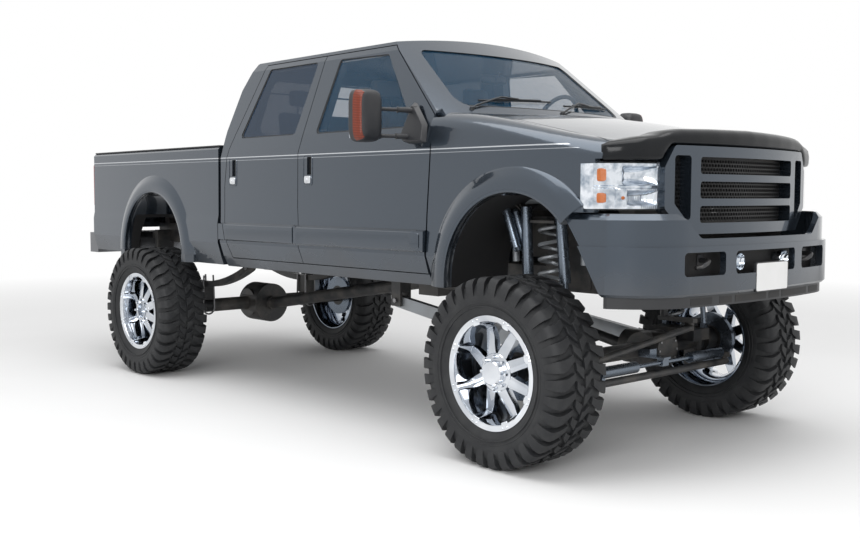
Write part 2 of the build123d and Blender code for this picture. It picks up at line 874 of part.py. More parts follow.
# Nose carrier: the panel that holds grille, lamps and fenders
carrier_back = front_x + 470
with BuildPart() as carrier_ring:
    add(box_at(carrier_back + 60, front_x + 900, -640, 640, 1290, 1640))
    add(box_at(carrier_back, front_x + 900, -560, 560, 1330, 1600), mode=Mode.SUBTRACT)
    add(nose_plan(30 - grille_depth - 2 * seat_gap - mesh_thick, 1000, 2000), mode=Mode.INTERSECT)
with BuildPart() as carrier_wings:
    add(box_at(carrier_back, front_x + lamp_back_x - 6, -1000, 1000, 1380, 1600))
    add(nose_form(skin + seat_gap), mode=Mode.INTERSECT)
    add(box_at(carrier_back - 10, front_x + 560, -560, 560, 1300, 1700), mode=Mode.SUBTRACT)
with BuildPart() as carrier_backs:
    add(box_at(carrier_back + 20, front_x + 640, -900, 900, 1380, 1600))
    add(nose_plan(-120 - seat_gap, 1000, 2000), mode=Mode.INTERSECT)
    add(box_at(carrier_back - 10, front_x + 900, -600, 600, 1300, 1700), mode=Mode.SUBTRACT)
with BuildPart() as hood_stops:
    for side in (-1, 1):
        add(side_box(side, front_x + 535, front_x + 575, 470, 510, 1600, 1900))
    add(nose_outer.moved(Location((0, 0, -hood_skin - seat_gap))), mode=Mode.INTERSECT)
with BuildPart() as nose_carrier:
    add(hood_stops.part)
    add(box_at(front_x + 598, front_x + 610, -620, 620, rail_top_z + 30, 1300))
    add(carrier_ring.part)
    add(carrier_wings.part)
    add(carrier_backs.part)
    for side in (-1, 1):
        add(
            box_at(
                front_x + 540,
                front_x + 600,
                side * 392 - 30,
                side * 392 + 30,
                rail_top_z + seat_gap,
                1320,
            ),
        )
write_part([nose_carrier.part], "nose_carrier")

# Front bumper in two tiers, with three openings
bumper_low_z = 941.0
bumper_step_z = 1188.0
bumper_top_z = 1349.0
bumper_wall = 34.0
bumper_notch_gap = 18.0
bumper_low_bevel = 14.0
bumper_top_bevel = 30.0


def bumper_plan(grow, z0, z1):
    """Prism of the bumper's outline from above."""
    tip = overall_length / 2 + grow
    with BuildPart() as prism:
        with BuildSketch(Plane.XY.offset(z0)):
            with BuildLine():
                Polyline(
                    (front_x + 620, body_half_width - 5 + grow),
                    (front_x + 330, body_half_width + 5 + grow),
                    (front_x + 330, -body_half_width - 5 - grow),
                    (front_x + 620, -body_half_width + 5 - grow),
                )
                ThreePointArc(
                    (front_x + 620, -body_half_width + 5 - grow),
                    (tip - 120, -850 - grow),
                    (tip - 45, -640),
                )
                ThreePointArc((tip - 45, -640), (tip, 0), (tip - 45, 640))
                ThreePointArc(
                    (tip - 45, 640),
                    (tip - 120, 850 + grow),
                    (front_x + 620, body_half_width - 5 + grow),
                )
            make_face()
        extrude(amount=z1 - z0)
    return prism.part


with BuildPart() as bumper_ends:
    with BuildSketch(Plane.XZ):
        with BuildLine():
            Polyline(
                (front_x + 338, bumper_top_z + 10),
                (front_x + 451, bumper_step_z),
                (front_x + 600, bumper_low_z - 10),
                (front_x + 1200, bumper_low_z - 10),
                (front_x + 1200, bumper_top_z + 10),
                close=True,
            )
        make_face()
    extrude(amount=1400, both=True)
with BuildPart() as lower_tier:
    add(bumper_plan(0, bumper_low_z, bumper_step_z))
    chamfer(lower_tier.faces().sort_by(Axis.Z)[0].edges(), bumper_low_bevel)
with BuildPart() as upper_tier:
    add(bumper_plan(-16, bumper_step_z, bumper_top_z))
    chamfer(upper_tier.faces().sort_by(Axis.Z)[-1].edges(), bumper_top_bevel)
with BuildPart() as front_bumper:
    add(lower_tier.part)
    add(bumper_plan(-bumper_wall, bumper_low_z - 1, bumper_step_z - 30), mode=Mode.SUBTRACT)
    add(upper_tier.part)
    add(bumper_plan(-16 - bumper_wall, bumper_step_z - 31, bumper_top_z + 1), mode=Mode.SUBTRACT)
    add(bumper_ends.part, mode=Mode.INTERSECT)
    add(end_prism(grille_line, front_x + 500, front_x + 1100, 28, bumper_notch_gap), mode=Mode.SUBTRACT)
    for mid_y, width in ((-537, 310), (0, 590), (537, 310)):
        with BuildSketch(Plane.YZ.offset(front_x + 700)):
            with Locations((mid_y, 1100)):
                RectangleRounded(width, 118, 22)
        extrude(amount=400, mode=Mode.SUBTRACT)
write_part([front_bumper.part], "front_bumper")

# Lower valance under the bumper
valance_low_z = 885.0
with BuildPart() as valance:
    add(bumper_plan(-20, valance_low_z, bumper_low_z - seat_gap))
    add(bumper_plan(-20 - 30, valance_low_z - 1, bumper_low_z + 1), mode=Mode.SUBTRACT)
    add(box_at(front_x, front_x + 600, -1100, 1100, 800, 1000), mode=Mode.SUBTRACT)
write_part([valance.part], "front_valance")

# Stone deflector along the hood's front edge, dipping over the lamps
deflector_proud = 20.0
deflector_reach = 46.0
deflector_low_z = lamp_top_z + 9
deflector_mid_z = grille_top_z + 8
deflector_line = [
    (-hood_front_half, deflector_low_z),
    (-704, deflector_low_z),
    (-642, deflector_mid_z),
    (642, deflector_mid_z),
    (704, deflector_low_z),
    (hood_front_half, deflector_low_z),
    (hood_front_half, 1900),
    (-hood_front_half, 1900),
]
with BuildPart() as deflector_core:
    add(nose_outer.moved(Location((0, 0, seat_gap))))
    add(nose_plan(4, 1500, 2000), mode=Mode.INTERSECT)
with BuildPart() as deflector:
    add(nose_outer.moved(Location((0, 0, deflector_proud - 4))))
    add(nose_plan(deflector_proud, 1500, 2000), mode=Mode.INTERSECT)
    add(end_prism(deflector_line, front_x + 400, front_x + 1100, 8), mode=Mode.INTERSECT)
    add(hood_plan(-2, 1500, 2100), mode=Mode.INTERSECT)
    add(deflector_core.part, mode=Mode.SUBTRACT)
    add(nose_plan(-deflector_reach, 1500, 2100), mode=Mode.SUBTRACT)
write_part([deflector.part], "hood_deflector")

# Tail lamps on the rear corners of the bed
with BuildPart() as tail_lamp:
    add(
        box_at(
            bed_back - 16,
            bed_back - seat_gap,
            -body_half_width + 16,
            -bed_inner_y + 26 - panel_gap,
            1340,
            1700,
        ),
    )
    fillet(tail_lamp.edges().filter_by(Axis.X), 12)
write_part(both_sides(tail_lamp.part), "tail_lamps")

# Rear step bumper
step_low_z = 930.0
step_top_z = 1105.0
step_back = -overall_length / 2
step_front = bed_back - 8
ball_hole_radius = 13.0
with BuildPart() as rear_bumper:
    with BuildSketch(Plane.XY.offset(step_low_z)):
        with BuildLine():
            Polyline(
                (step_front, -960),
                (step_back + 60, -960),
                (step_back, -820),
                (step_back, 820),
                (step_back + 60, 960),
                (step_front, 960),
                close=True,
            )
        make_face()
    extrude(amount=step_top_z - step_low_z)
    fillet(rear_bumper.edges().filter_by(Axis.Z).group_by(Axis.X)[0], 40)
    add(
        box_at(step_back + 12, step_front - 14, -930, 930, step_low_z - 1, step_top_z - 12),
        mode=Mode.SUBTRACT,
    )
    with BuildSketch(Plane.XY.offset(step_top_z - 20)):
        with Locations((step_back + 90, 0)):
            Circle(ball_hole_radius)
    extrude(amount=30, mode=Mode.SUBTRACT)
write_part([rear_bumper.part], "rear_bumper")

# Ladder frame
rail_y = 432.0
rail_width = 80.0
rail_low_z = 850.0
rail_high_z = rail_top_z
bed_rail_z = bed_floor_z - bed_floor - 60
rail_line = [
    (bed_back + 125, bed_rail_z - 150),
    (rear_x - 600, bed_rail_z - 170),
    (rear_x + 420, bed_rail_z - 170),
    (rear_x + 760, rail_low_z),
    (front_x - 640, rail_low_z),
    (front_x - 420, rail_low_z + 40),
    (front_x + 300, rail_low_z + 40),
    (front_x + 760, rail_low_z + 60),
    (front_x + 760, rail_high_z),
    (front_x - 660, rail_high_z),
    (rear_x + 900, rail_high_z),
    (rear_x + 560, bed_rail_z),
    (bed_back + 125, bed_rail_z),
]
with BuildPart() as rail:
    with BuildSketch(Plane.XZ.offset(rail_y - rail_width)):
        with BuildLine():
            Polyline(*rail_line, close=True)
        make_face()
    extrude(amount=rail_width)
# Cross members: X, middle height, width, height
cross_rows = [
    (rear_x - 820, bed_rail_z - 110, 80, 90),
    (rear_x - 250, bed_rail_z - 90, 90, 90),
    (rear_x + 1150, rail_low_z + 70, 90, 90),
    (front_x - 1600, rail_high_z - 20, 80, 38),
    (front_x + 700, rail_low_z + 120, 80, 90),
]
coil_x = front_x - 71
coil_y = 590.0
coil_radius = 78.0
coil_low_z = 610.0
coil_top_z = 1285.0
shock_y = 655.0
shock_radius = 32.0
# Shocks: top X, top Z, foot X
shock_rows = [
    (front_x - 205, 1375, front_x - 168),
    (front_x + 47, 1370, front_x + 120),
]
bracket_x = front_x - 1522
arm_y = 450.0
leaf_y = 520.0
leaf_thick = 48.0
leaf_width = 76.0
tube_radius = 47.0
rear_tube_radius = 55.0
leaf_base_z = axle_z + rear_tube_radius + 130
leaf_end_z = leaf_base_z + 170
leaf_back_x = rear_x - 760
leaf_front_x = rear_x + 700
tower_y = rail_y + 8


with BuildPart() as frame:
    for solid in both_sides(rail.part):
        add(solid)
    for x, z, width, height in cross_rows:
        add(box_at(x - width / 2, x + width / 2, -rail_y + 40, rail_y - 40, z - height / 2, z + height / 2))
    for x in (rear_x - 800, rear_x - 250, rear_x + 300, rear_x + 850):
        top = bed_floor_z - bed_floor - seat_gap
        low = bed_rail_z - 1 if x < rear_x + 500 else rail_high_z - 1
        for side in (-1, 1):
            add(side_box(side, x - 40, x + 40, rail_y - 75, rail_y - 5, low, top))
    for side in (-1, 1):
        add(
            side_box(
                side,
                coil_x - 88,
                coil_x + 88,
                rail_y - 20,
                coil_y + 84,
                coil_top_z + seat_gap,
                coil_top_z + 16,
            ),
        )
        add(side_box(side, front_x - 240, front_x + 90, rail_y - 30, tower_y, rail_low_z + 60, 1372))
        for top_x, top_z, foot_x in shock_rows:
            inner = shock_y - shock_radius - seat_gap
            add(side_box(side, top_x - 22, top_x + 22, tower_y - 10, inner, top_z - 55, top_z - 20))
        add(side_box(side, bracket_x - 45, bracket_x + 45, arm_y - 50, arm_y + 46, 696, rail_low_z + 30))
        add(
            side_box(side, bracket_x - 46, bracket_x + 46, arm_y - 28, arm_y + 28, 600, 790),
            mode=Mode.SUBTRACT,
        )
        add(side_box(side, front_x + 700, front_x + 760, 300, 560, rail_low_z + 105, rail_high_z - 10))
        for x in (leaf_back_x, leaf_front_x):
            low = leaf_end_z + leaf_thick / 2 + seat_gap
            high = bed_rail_z - 60 if x < rear_x else rail_low_z + 110
            add(side_box(side, x - 26, x + 26, rail_y - 30, leaf_y + leaf_width / 2, low, high))
        add(side_box(side, front_x - 100, front_x, 300 + seat_gap, rail_y - 40, rail_high_z - 20, 1120))
        add(side_box(side, step_front + seat_gap, bed_back + 150, rail_y - rail_width, rail_y, 1045, 1100))
    with BuildPart(mode=Mode.PRIVATE) as horns:
        for side in (-1, 1):
            add(side_box(side, front_x + 740, front_x + 960, 400, 510, rail_low_z + 105, rail_high_z - 20))
        add(bumper_plan(-bumper_wall - seat_gap, 900, 1100), mode=Mode.INTERSECT)
    add(horns.part)
write_part([frame.part], "frame")

# Axles
kingpin_y = 765.0
diff_y_front = 255.0
diff_y_rear = 47.0
c_half = 150.0
with BuildPart() as front_axle:
    add(rod((front_x, -kingpin_y + 60, axle_z), (front_x, kingpin_y - 60, axle_z), tube_radius))
    with BuildSketch(Plane.XZ.offset(-diff_y_front - 100)):
        with Locations((front_x, axle_z)):
            Circle(105)
    extrude(amount=200)
    with BuildSketch(Plane.YZ.offset(front_x - 170)):
        with Locations((diff_y_front, axle_z)):
            Circle(105)
    extrude(amount=300)
    for side in (-1, 1):
        y0 = min(side * (kingpin_y - 90), side * (kingpin_y - 55))
        y1 = max(side * (kingpin_y - 90), side * (kingpin_y - 55))
        add(box_at(front_x - 38, front_x + 38, y0, y1, axle_z - c_half, axle_z + c_half))
        y2 = min(side * (kingpin_y - 60), side * (kingpin_y + 30))
        y3 = max(side * (kingpin_y - 60), side * (kingpin_y + 30))
        add(box_at(front_x - 32, front_x + 32, y2, y3, axle_z + c_half - 30, axle_z + c_half))
        add(box_at(front_x - 32, front_x + 32, y2, y3, axle_z - c_half, axle_z - c_half + 30))
        add(
            side_box(
                side,
                coil_x - 115,
                front_x + 142,
                coil_y - 80,
                coil_y + 92,
                axle_z + 30,
                coil_low_z - seat_gap,
            ),
        )
        add(
            side_box(
                side,
                front_x - tube_radius - 8,
                front_x + 30,
                arm_y - 24,
                arm_y + 24,
                axle_z - 20,
                axle_z + 70,
            ),
        )
write_part([front_axle.part], "front_axle")

with BuildPart() as rear_axle:
    stub_y = wheel_y_rear - disc_back - seat_gap
    add(rod((rear_x, -stub_y, axle_z), (rear_x, stub_y, axle_z), rear_tube_radius))
    with BuildSketch(Plane.XZ.offset(-diff_y_rear - 150)):
        with Locations((rear_x, axle_z)):
            Circle(120)
    extrude(amount=300)
    with BuildSketch(Plane.YZ.offset(rear_x - 165)):
        with Locations((diff_y_rear, axle_z)):
            Circle(165)
    extrude(amount=320)
    chamfer(rear_axle.faces().sort_by(Axis.X)[0].edges(), 55)
write_part([rear_axle.part], "rear_axle")

# Knuckles, each turning on its kingpin
knuckle_drop = c_half - 30 - panel_gap
steer_arm = 200.0
arm_z = 440.0
spindle_y = wheel_y_front - disc_back - seat_gap
for side, name in ((-1, "knuckle_right"), (1, "knuckle_left")):
    with BuildPart() as knuckle:
        y0 = min(side * (kingpin_y - 28), side * (kingpin_y + 40))
        y1 = max(side * (kingpin_y - 28), side * (kingpin_y + 40))
        add(box_at(front_x - 40, front_x + 40, y0, y1, axle_z - knuckle_drop, axle_z + knuckle_drop))
        with BuildSketch(Plane.XZ.offset(-side * (kingpin_y + 30))):
            with Locations((front_x, axle_z)):
                Circle(70)
        extrude(amount=-side * (spindle_y - kingpin_y - 30))
        y2 = side * kingpin_y - 22
        add(box_at(front_x + 30, front_x + steer_arm + 28, y2, y2 + 44, arm_z - 16, arm_z + 16))
        pin_reach = c_half - 30 - seat_gap
        pin_y = side * kingpin_y
        add(rod((front_x, pin_y, axle_z - 78), (front_x, pin_y, axle_z + 78), 48))
        add(rod((front_x, pin_y, axle_z - pin_reach), (front_x, pin_y, axle_z + pin_reach), 16))
    write_part([knuckle.part], name)

# Tie rod, parallel to the axle and ahead of it, with its two ball studs
tie_x = front_x + steer_arm
tie_z = arm_z - 16 - 28
tie_radius = 22.0
link_z = arm_z + 16 + 46
drop_arm_y = 395.0
with BuildPart() as tie_rod:
    add(rod((tie_x, -kingpin_y - 25, tie_z), (tie_x, kingpin_y + 25, tie_z), tie_radius))
    for y in (-kingpin_y, kingpin_y):
        add(rod((tie_x, y, tie_z), (tie_x, y, arm_z - 16 - seat_gap), 14))
write_part([tie_rod.part], "tie_rod")
with BuildPart() as drag_link:
    add(rod((tie_x, -kingpin_y, link_z), (tie_x, drop_arm_y, link_z + 140), 20))
    add(rod((tie_x, -kingpin_y, link_z), (tie_x, -kingpin_y, arm_z + 16 + seat_gap), 14))
    add(rod((tie_x, drop_arm_y, link_z + 120), (tie_x, drop_arm_y, link_z + 168), 16))
write_part([drag_link.part], "drag_link")

# Drop arm below the steering box
box_x = tie_x - steer_arm
drop_z = link_z + 168 + seat_gap
with BuildPart() as drop_arm:
    add(box_at(box_x - 28, tie_x + 26, drop_arm_y - 24, drop_arm_y + 24, drop_z, drop_z + 26))
    add(rod((box_x, drop_arm_y, drop_z + 10), (box_x, drop_arm_y, rail_low_z + 40 - seat_gap), 24))
write_part([drop_arm.part], "drop_arm")

# Steering dampers: barrels on the tie rod, rods to the middle bracket
damper_z = tie_z + 62
damper_mid_y = 107.0
barrel_length = 335.0
barrel_radius = 33.0
barrel_bore = 13.5
damper_rod_radius = 13.0
rod_reach = 120.0
rod_show = 240.0
with BuildPart() as barrels:
    for side in (-1, 1):
        inner_y = damper_mid_y + side * (rod_show + 30)
        outer_y = inner_y + side * barrel_length
        add(rod((tie_x, inner_y, damper_z), (tie_x, outer_y, damper_z), barrel_radius))
        add(
            rod(
                (tie_x, inner_y - side, damper_z),
                (tie_x, inner_y + side * (barrel_length - 30), damper_z),
                barrel_bore,
            ),
            mode=Mode.SUBTRACT,
        )
        add(
            box_at(
                tie_x - 20,
                tie_x + 20,
                outer_y - side * 20 - 15,
                outer_y - side * 20 + 15,
                tie_z + tie_radius + seat_gap,
                damper_z - 20,
            ),
        )
write_part([barrels.part], "damper_barrels")
with BuildPart() as damper_rods:
    for side in (-1, 1):
        start_y = damper_mid_y + side * 26
        add(
            rod(
                (tie_x, start_y, damper_z),
                (tie_x, damper_mid_y + side * (rod_show + 30 + rod_reach), damper_z),
                damper_rod_radius,
            ),
        )
    add(box_at(tie_x - 20, tie_x + 20, damper_mid_y - 30, damper_mid_y + 30, damper_z - 20, damper_z + 20))
write_part([damper_rods.part], "damper_rods")
with BuildPart() as damper_bracket:
    plate_z = damper_z + 20 + seat_gap
    plate_x = front_x + tube_radius + seat_gap
    add(box_at(plate_x, tie_x + 30, damper_mid_y - 34, damper_mid_y + 34, plate_z, plate_z + 12))
    add(box_at(plate_x, front_x + 130, damper_mid_y - 34, damper_mid_y + 34, plate_z, axle_z + 20))
write_part([damper_bracket.part], "damper_bracket")

# Coil springs
coil_turns = 8.0
coil_wire = 11.0
coil_rise = coil_top_z - coil_low_z - 2 * coil_wire
for_coils = []
for side in (-1, 1):
    with BuildPart() as coil:
        with BuildLine(Plane(origin=(coil_x, side * coil_y, coil_low_z + coil_wire))) as path:
            Helix(coil_rise / coil_turns, coil_rise, coil_radius - coil_wire)
        with BuildSketch(Plane(origin=path.line @ 0, z_dir=path.line % 0)):
            RegularPolygon(coil_wire, 6)
        sweep()
    for_coils.append(coil.part)
write_part(for_coils, "coil_springs")

# Shocks, two at each front corner
with BuildPart() as shocks:
    for side in (-1, 1):
        for top_x, top_z, foot_x in shock_rows:
            start = Vector(foot_x, side * shock_y, coil_low_z + 12)
            end = Vector(top_x, side * shock_y, top_z)
            middle = start + (end - start) * 0.45
            add(rod(tuple(start), tuple(end), 17))
            add(rod(tuple(middle), tuple(end), shock_radius))
            add(
                side_box(
                    side,
                    foot_x - 16,
                    foot_x + 16,
                    shock_y - 16,
                    shock_y + 16,
                    coil_low_z,
                    coil_low_z + 30,
                ),
            )
write_part([shocks.part], "shocks")

# Radius arms
arm_end_x = front_x - tube_radius - 8 - seat_gap
with BuildPart() as radius_arms:
    for side in (-1, 1):
        with BuildSketch(Plane.XZ.offset(-side * arm_y - 24)):
            with BuildLine():
                Polyline(
                    (bracket_x - 30, 690),
                    (bracket_x - 30, 760),
                    (bracket_x + 60, 755),
                    (arm_end_x, 560),
                    (arm_end_x, 490),
                    (arm_end_x - 60, 470),
                    close=True,
                )
            make_face()
        extrude(amount=48)
write_part([radius_arms.part], "radius_arms")

# Leaf springs with lift blocks
with BuildPart() as leaf_right:
    with BuildSketch(Plane.XZ.offset(leaf_y - leaf_width / 2)):
        with BuildLine():
            ThreePointArc((leaf_back_x, leaf_end_z), (rear_x, leaf_base_z), (leaf_front_x, leaf_end_z))
            offset(amount=leaf_thick / 2)
        make_face()
    extrude(amount=leaf_width)
    add(
        box_at(
            rear_x - 70,
            rear_x + 70,
            -leaf_y - leaf_width / 2,
            -leaf_y + leaf_width / 2,
            axle_z + rear_tube_radius + seat_gap,
            leaf_base_z + 10,
        ),
    )
write_part(both_sides(leaf_right.part), "leaf_springs")

# Driveline and powertrain
with BuildPart() as driveshafts:
    for start, end, radius in (
        ((rear_x + 155 + seat_gap, diff_y_rear, axle_z), (front_x - 1700 - seat_gap, 60, 830), 48),
        ((front_x - 1499 + seat_gap, 195, 785), (front_x - 170 - seat_gap, diff_y_front, axle_z), 34),
    ):
        first = Vector(*start) + Vector(36, 0, 0)
        last = Vector(*end) - Vector(36, 0, 0)
        add(rod(start, tuple(first), radius + 12))
        add(rod(tuple(first - Vector(8, 0, 0)), tuple(last + Vector(8, 0, 0)), radius))
        add(rod(tuple(last), end, radius + 12))
write_part([driveshafts.part], "driveshafts")
with BuildPart() as powertrain:
    add(box_at(front_x - 560, front_x + 380, -300, 300, rail_high_z + 40, 1640))
    add(box_at(front_x - 1500, front_x - 559, -150, 150, 800, cab_floor_z - 12))
    add(box_at(front_x - 700, front_x - 400, -200, 200, 860, 1200))
    add(box_at(front_x - 1700, front_x - 1499, -130, 250, 740, 990))
    add(box_at(front_x - 700, front_x - 500, -1000, 1000, cab_floor_z - 12, 2200), mode=Mode.SUBTRACT)
write_part([powertrain.part], "powertrain")
with BuildPart() as fuel_tank:
    add(box_at(rear_x + 770, rear_x + 1750, rail_y + seat_gap, 830, 850, cab_floor_z - 8))
    fillet(fuel_tank.edges().filter_by(Axis.X), 40)
write_part([fuel_tank.part], "fuel_tank")

# Wheels
def tyre_part():
    """Tyre with shoulder lugs, spinning about Y through the origin, outside towards -Y."""
    half = tyre_width / 2
    lug_top = sqrt(tyre_radius**2 - lug_half**2)
    base = tyre_radius - lug_height
    with BuildPart() as tyre:
        with BuildSketch(Plane.XY):
            with BuildLine():
                Polyline(
                    (bead_radius + 6 + seat_gap, -rim_width / 2 + 26),
                    (bead_radius + 70, -half + 6),
                    (base - 90, -half),
                    (base - 22, -half + 18),
                    (base, -half + 60),
                    (base, half - 60),
                    (base - 22, half - 18),
                    (base - 90, half),
                    (bead_radius + 70, half - 6),
                    (bead_radius + 6 + seat_gap, rim_width / 2 - 26),
                    close=True,
                )
            make_face()
        revolve(axis=Axis.Y)
    with BuildPart() as lugs:
        for side in (-1, 1):
            for number in range(lug_count):
                angle = 360 / lug_count * (number + (0.5 if side > 0 else 0.0))
                with BuildSketch(Plane.XY.rotated((0, angle, 0))):
                    with BuildLine():
                        Polyline(
                            (base - 100, side * (half - 20)),
                            (base - 60, side * half),
                            (lug_top - 30, side * (half - 8)),
                            (lug_top, side * (half - 40)),
                            (lug_top, side * (half - 130)),
                            (base - 12, side * (half - 130)),
                            close=True,
                        )
                    make_face()
                extrude(amount=lug_half, both=True)
    with BuildPart() as whole:
        add(tyre.part)
        add(lugs.part)
    return whole.part


def rim_part(cap_radius):
    """Deep wheel with its hub face, spokes, brake disc; outside towards -Y."""
    lip = -rim_width / 2
    hub_y = lip + 40
    with BuildPart() as rim:
        with BuildSketch(Plane.XY):
            with BuildLine():
                Polyline(
                    (rim_radius, lip),
                    (rim_radius, lip + 12),
                    (bead_radius + 6, lip + 26),
                    (bead_radius + 6, lip + 70),
                    (bead_radius - 24, lip + 100),
                    (bead_radius - 24, -lip - 90),
                    (bead_radius + 6, -lip - 60),
                    (bead_radius + 6, -lip - 26),
                    (rim_radius, -lip - 12),
                    (rim_radius, -lip),
                    (rim_radius - 12, -lip),
                    (bead_radius - 8, -lip - 30),
                    (bead_radius - 38, -lip - 94),
                    (bead_radius - 38, lip + 104),
                    (bead_radius - 10, lip + 66),
                    (bead_radius - 10, lip + 22),
                    (rim_radius - 10, lip),
                    close=True,
                )
            make_face()
        revolve(axis=Axis.Y)
        with BuildSketch(Plane.XZ.offset(-hub_y - 62)):
            Circle(hub_radius)
        extrude(amount=42)
    with BuildPart() as spoke:
        with BuildSketch(Plane.XY):
            with BuildLine():
                Polyline(
                    (hub_radius - 30, lip + 42),
                    (hub_radius + 30, lip + 58),
                    (bead_radius - 44, lip + 87),
                    (bead_radius - 30, lip + 45),
                    (bead_radius - 24, lip + 2),
                    (rim_radius - 8, lip - 2),
                    (rim_radius - 8, lip + 8),
                    (bead_radius - 8, lip + 20),
                    (bead_radius - 16, lip + 104),
                    (bead_radius - 46, lip + 124),
                    (hub_radius + 60, lip + 118),
                    (hub_radius - 30, lip + 92),
                    close=True,
                )
            make_face()
        extrude(amount=spoke_half, both=True)
    with BuildPart() as whole:
        add(rim.part)
        for number in range(spoke_count):
            add(spoke.part.rotate(Axis.Y, 360 / spoke_count * (number + 0.5)))
        if cap_radius:
            add(rod((0, hub_y + 30, 0), (0, hub_y - 12, 0), cap_radius))
        add(rod((0, hub_y + 40, 0), (0, hub_inset - 30, 0), 70))
        add(rod((0, hub_inset - 30 - 4, 0), (0, hub_inset - 30 + disc_thick, 0), disc_radius))
    return whole.part


tyre = tyre_part()
rim_front = rim_part(64.0)
rim_rear = rim_part(0.0)
wheel_rows = [
    ("front_right", front_x, wheel_y_front, rim_front, False),
    ("front_left", front_x, wheel_y_front, rim_front, True),
    ("rear_right", rear_x, wheel_y_rear, rim_rear, False),
    ("rear_left", rear_x, wheel_y_rear, rim_rear, True),
]
for place, x, y, rim, turned in wheel_rows:
    tyre_placed = tyre.moved(Location((x, -y, axle_z)))
    rim_placed = rim.moved(Location((x, -y, axle_z)))
    if turned:
        tyre_placed = tyre_placed.mirror(Plane.XZ)
        rim_placed = rim_placed.mirror(Plane.XZ)
    write_part([tyre_placed], "tyre_" + place)
    write_part([rim_placed], "rim_" + place)

# Seats, dashboard and steering column
steer_tilt = 28.0
steer_centre = (front_x - 980, 480.0, 1950.0)
column_dir = Vector(cos(radians(steer_tilt)), 0, -sin(radians(steer_tilt)))
column_radius = 30.0
column_length = 165.0


def column_at(reach):
    """Point on the steering column's axis, a distance ahead of the wheel's face."""
    return tuple(Vector(*steer_centre) + column_dir * reach)


seat_rows = [
    (front_x - 1600, -430, 520),
    (front_x - 1600, 430, 520),
    (front_x - 2560, 0, 1380),
]
seat_base_z = cab_floor_z + cab_floor + seat_gap
with BuildPart() as seats:
    for x, y, width in seat_rows:
        add(box_at(x - 60, x + 440, y - width / 2, y + width / 2, seat_base_z, seat_base_z + 430))
        with BuildSketch(Plane.XZ.offset(-y - width / 2)):
            with BuildLine():
                Polyline(
                    (x - 60, seat_base_z + 200),
                    (x + 60, seat_base_z + 200),
                    (x - 40, seat_base_z + 1010),
                    (x - 150, seat_base_z + 1010),
                    close=True,
                )
            make_face()
        extrude(amount=width)
    for x, y in [(x, y) for x in (front_x - 1600, front_x - 2560) for y in (-430, 430)]:
        add(box_at(x - 150, x - 60, y - 130, y + 130, seat_base_z + 1000, seat_base_z + 1150))
write_part([seats.part], "seats")
with BuildPart() as dashboard:
    with BuildSketch(Plane.XZ.offset(-840)):
        with BuildLine():
            Polyline(
                (front_x - 700 - seat_gap, 1560),
                (front_x - 700 - seat_gap, 1845),
                (front_x - 790, 1890),
                (front_x - 870, 1850),
                (front_x - 900, 1700),
                (front_x - 820, 1560),
                close=True,
            )
        make_face()
    extrude(amount=1680)
    add(rod(column_at(118), column_at(240), column_radius + 15))
    add(rod(column_at(100), column_at(column_length + 10), column_radius + seat_gap), mode=Mode.SUBTRACT)
write_part([dashboard.part], "dashboard")

# Steering wheel on its column
with BuildPart() as steering_wheel:
    with BuildSketch(Plane(origin=steer_centre, z_dir=column_dir)):
        Circle(200)
        Circle(172, mode=Mode.SUBTRACT)
        Circle(58)
        Rectangle(44, 360)
        with Locations((-90, 0)):
            Rectangle(180, 40)
    extrude(amount=26)
    with BuildSketch(Plane(origin=steer_centre, z_dir=column_dir)):
        Circle(column_radius)
    extrude(amount=column_length)
write_part([steering_wheel.part], "steering_wheel")
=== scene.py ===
import math

import bmesh
import bpy
from mathutils import Matrix, Vector


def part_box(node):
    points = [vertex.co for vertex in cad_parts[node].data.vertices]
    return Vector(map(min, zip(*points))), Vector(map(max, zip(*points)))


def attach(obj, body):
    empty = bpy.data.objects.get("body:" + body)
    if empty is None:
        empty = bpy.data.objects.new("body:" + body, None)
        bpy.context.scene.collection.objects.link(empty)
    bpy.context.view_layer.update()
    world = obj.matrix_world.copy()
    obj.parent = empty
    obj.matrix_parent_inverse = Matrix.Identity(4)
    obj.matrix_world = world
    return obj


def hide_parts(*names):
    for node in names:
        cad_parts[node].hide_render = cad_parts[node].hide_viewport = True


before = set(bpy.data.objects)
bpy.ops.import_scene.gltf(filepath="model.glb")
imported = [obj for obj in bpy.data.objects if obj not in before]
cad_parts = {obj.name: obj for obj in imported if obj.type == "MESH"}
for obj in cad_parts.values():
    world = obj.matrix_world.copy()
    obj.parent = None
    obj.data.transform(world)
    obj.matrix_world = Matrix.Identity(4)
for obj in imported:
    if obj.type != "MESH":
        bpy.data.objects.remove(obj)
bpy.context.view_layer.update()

# Where the truck stands. A plain pale floor in a white room, with one wide soft lamp above
# the hood and one beside the camera. The camera has the photograph's place, tilt and lens.
camera_place = Vector((5.9535, -5.0408, 1.4349))
camera_yaw = math.radians(42.44)
camera_pitch = math.radians(4.11)
camera_roll = math.radians(0.13)
focal_pixels = 1045.0
photo_width = 860.0
sensor_width = 36.0
floor_half = 60.0

camera_data = bpy.data.cameras.new("camera")
camera_data.sensor_width = sensor_width
camera_data.lens = focal_pixels / photo_width * sensor_width
camera_data.clip_end = 400.0
camera = bpy.data.objects.new("camera", camera_data)
bpy.context.scene.collection.objects.link(camera)
look = Vector((
    -math.cos(camera_yaw) * math.cos(camera_pitch),
    math.sin(camera_yaw) * math.cos(camera_pitch),
    -math.sin(camera_pitch),
))
turned = look.to_track_quat("-Z", "Y").to_matrix().to_4x4()
camera.matrix_world = Matrix.Translation(camera_place) @ turned @ Matrix.Rotation(camera_roll, 4, "Z")
bpy.context.scene.camera = camera
bpy.context.scene.view_settings.view_transform = "Standard"


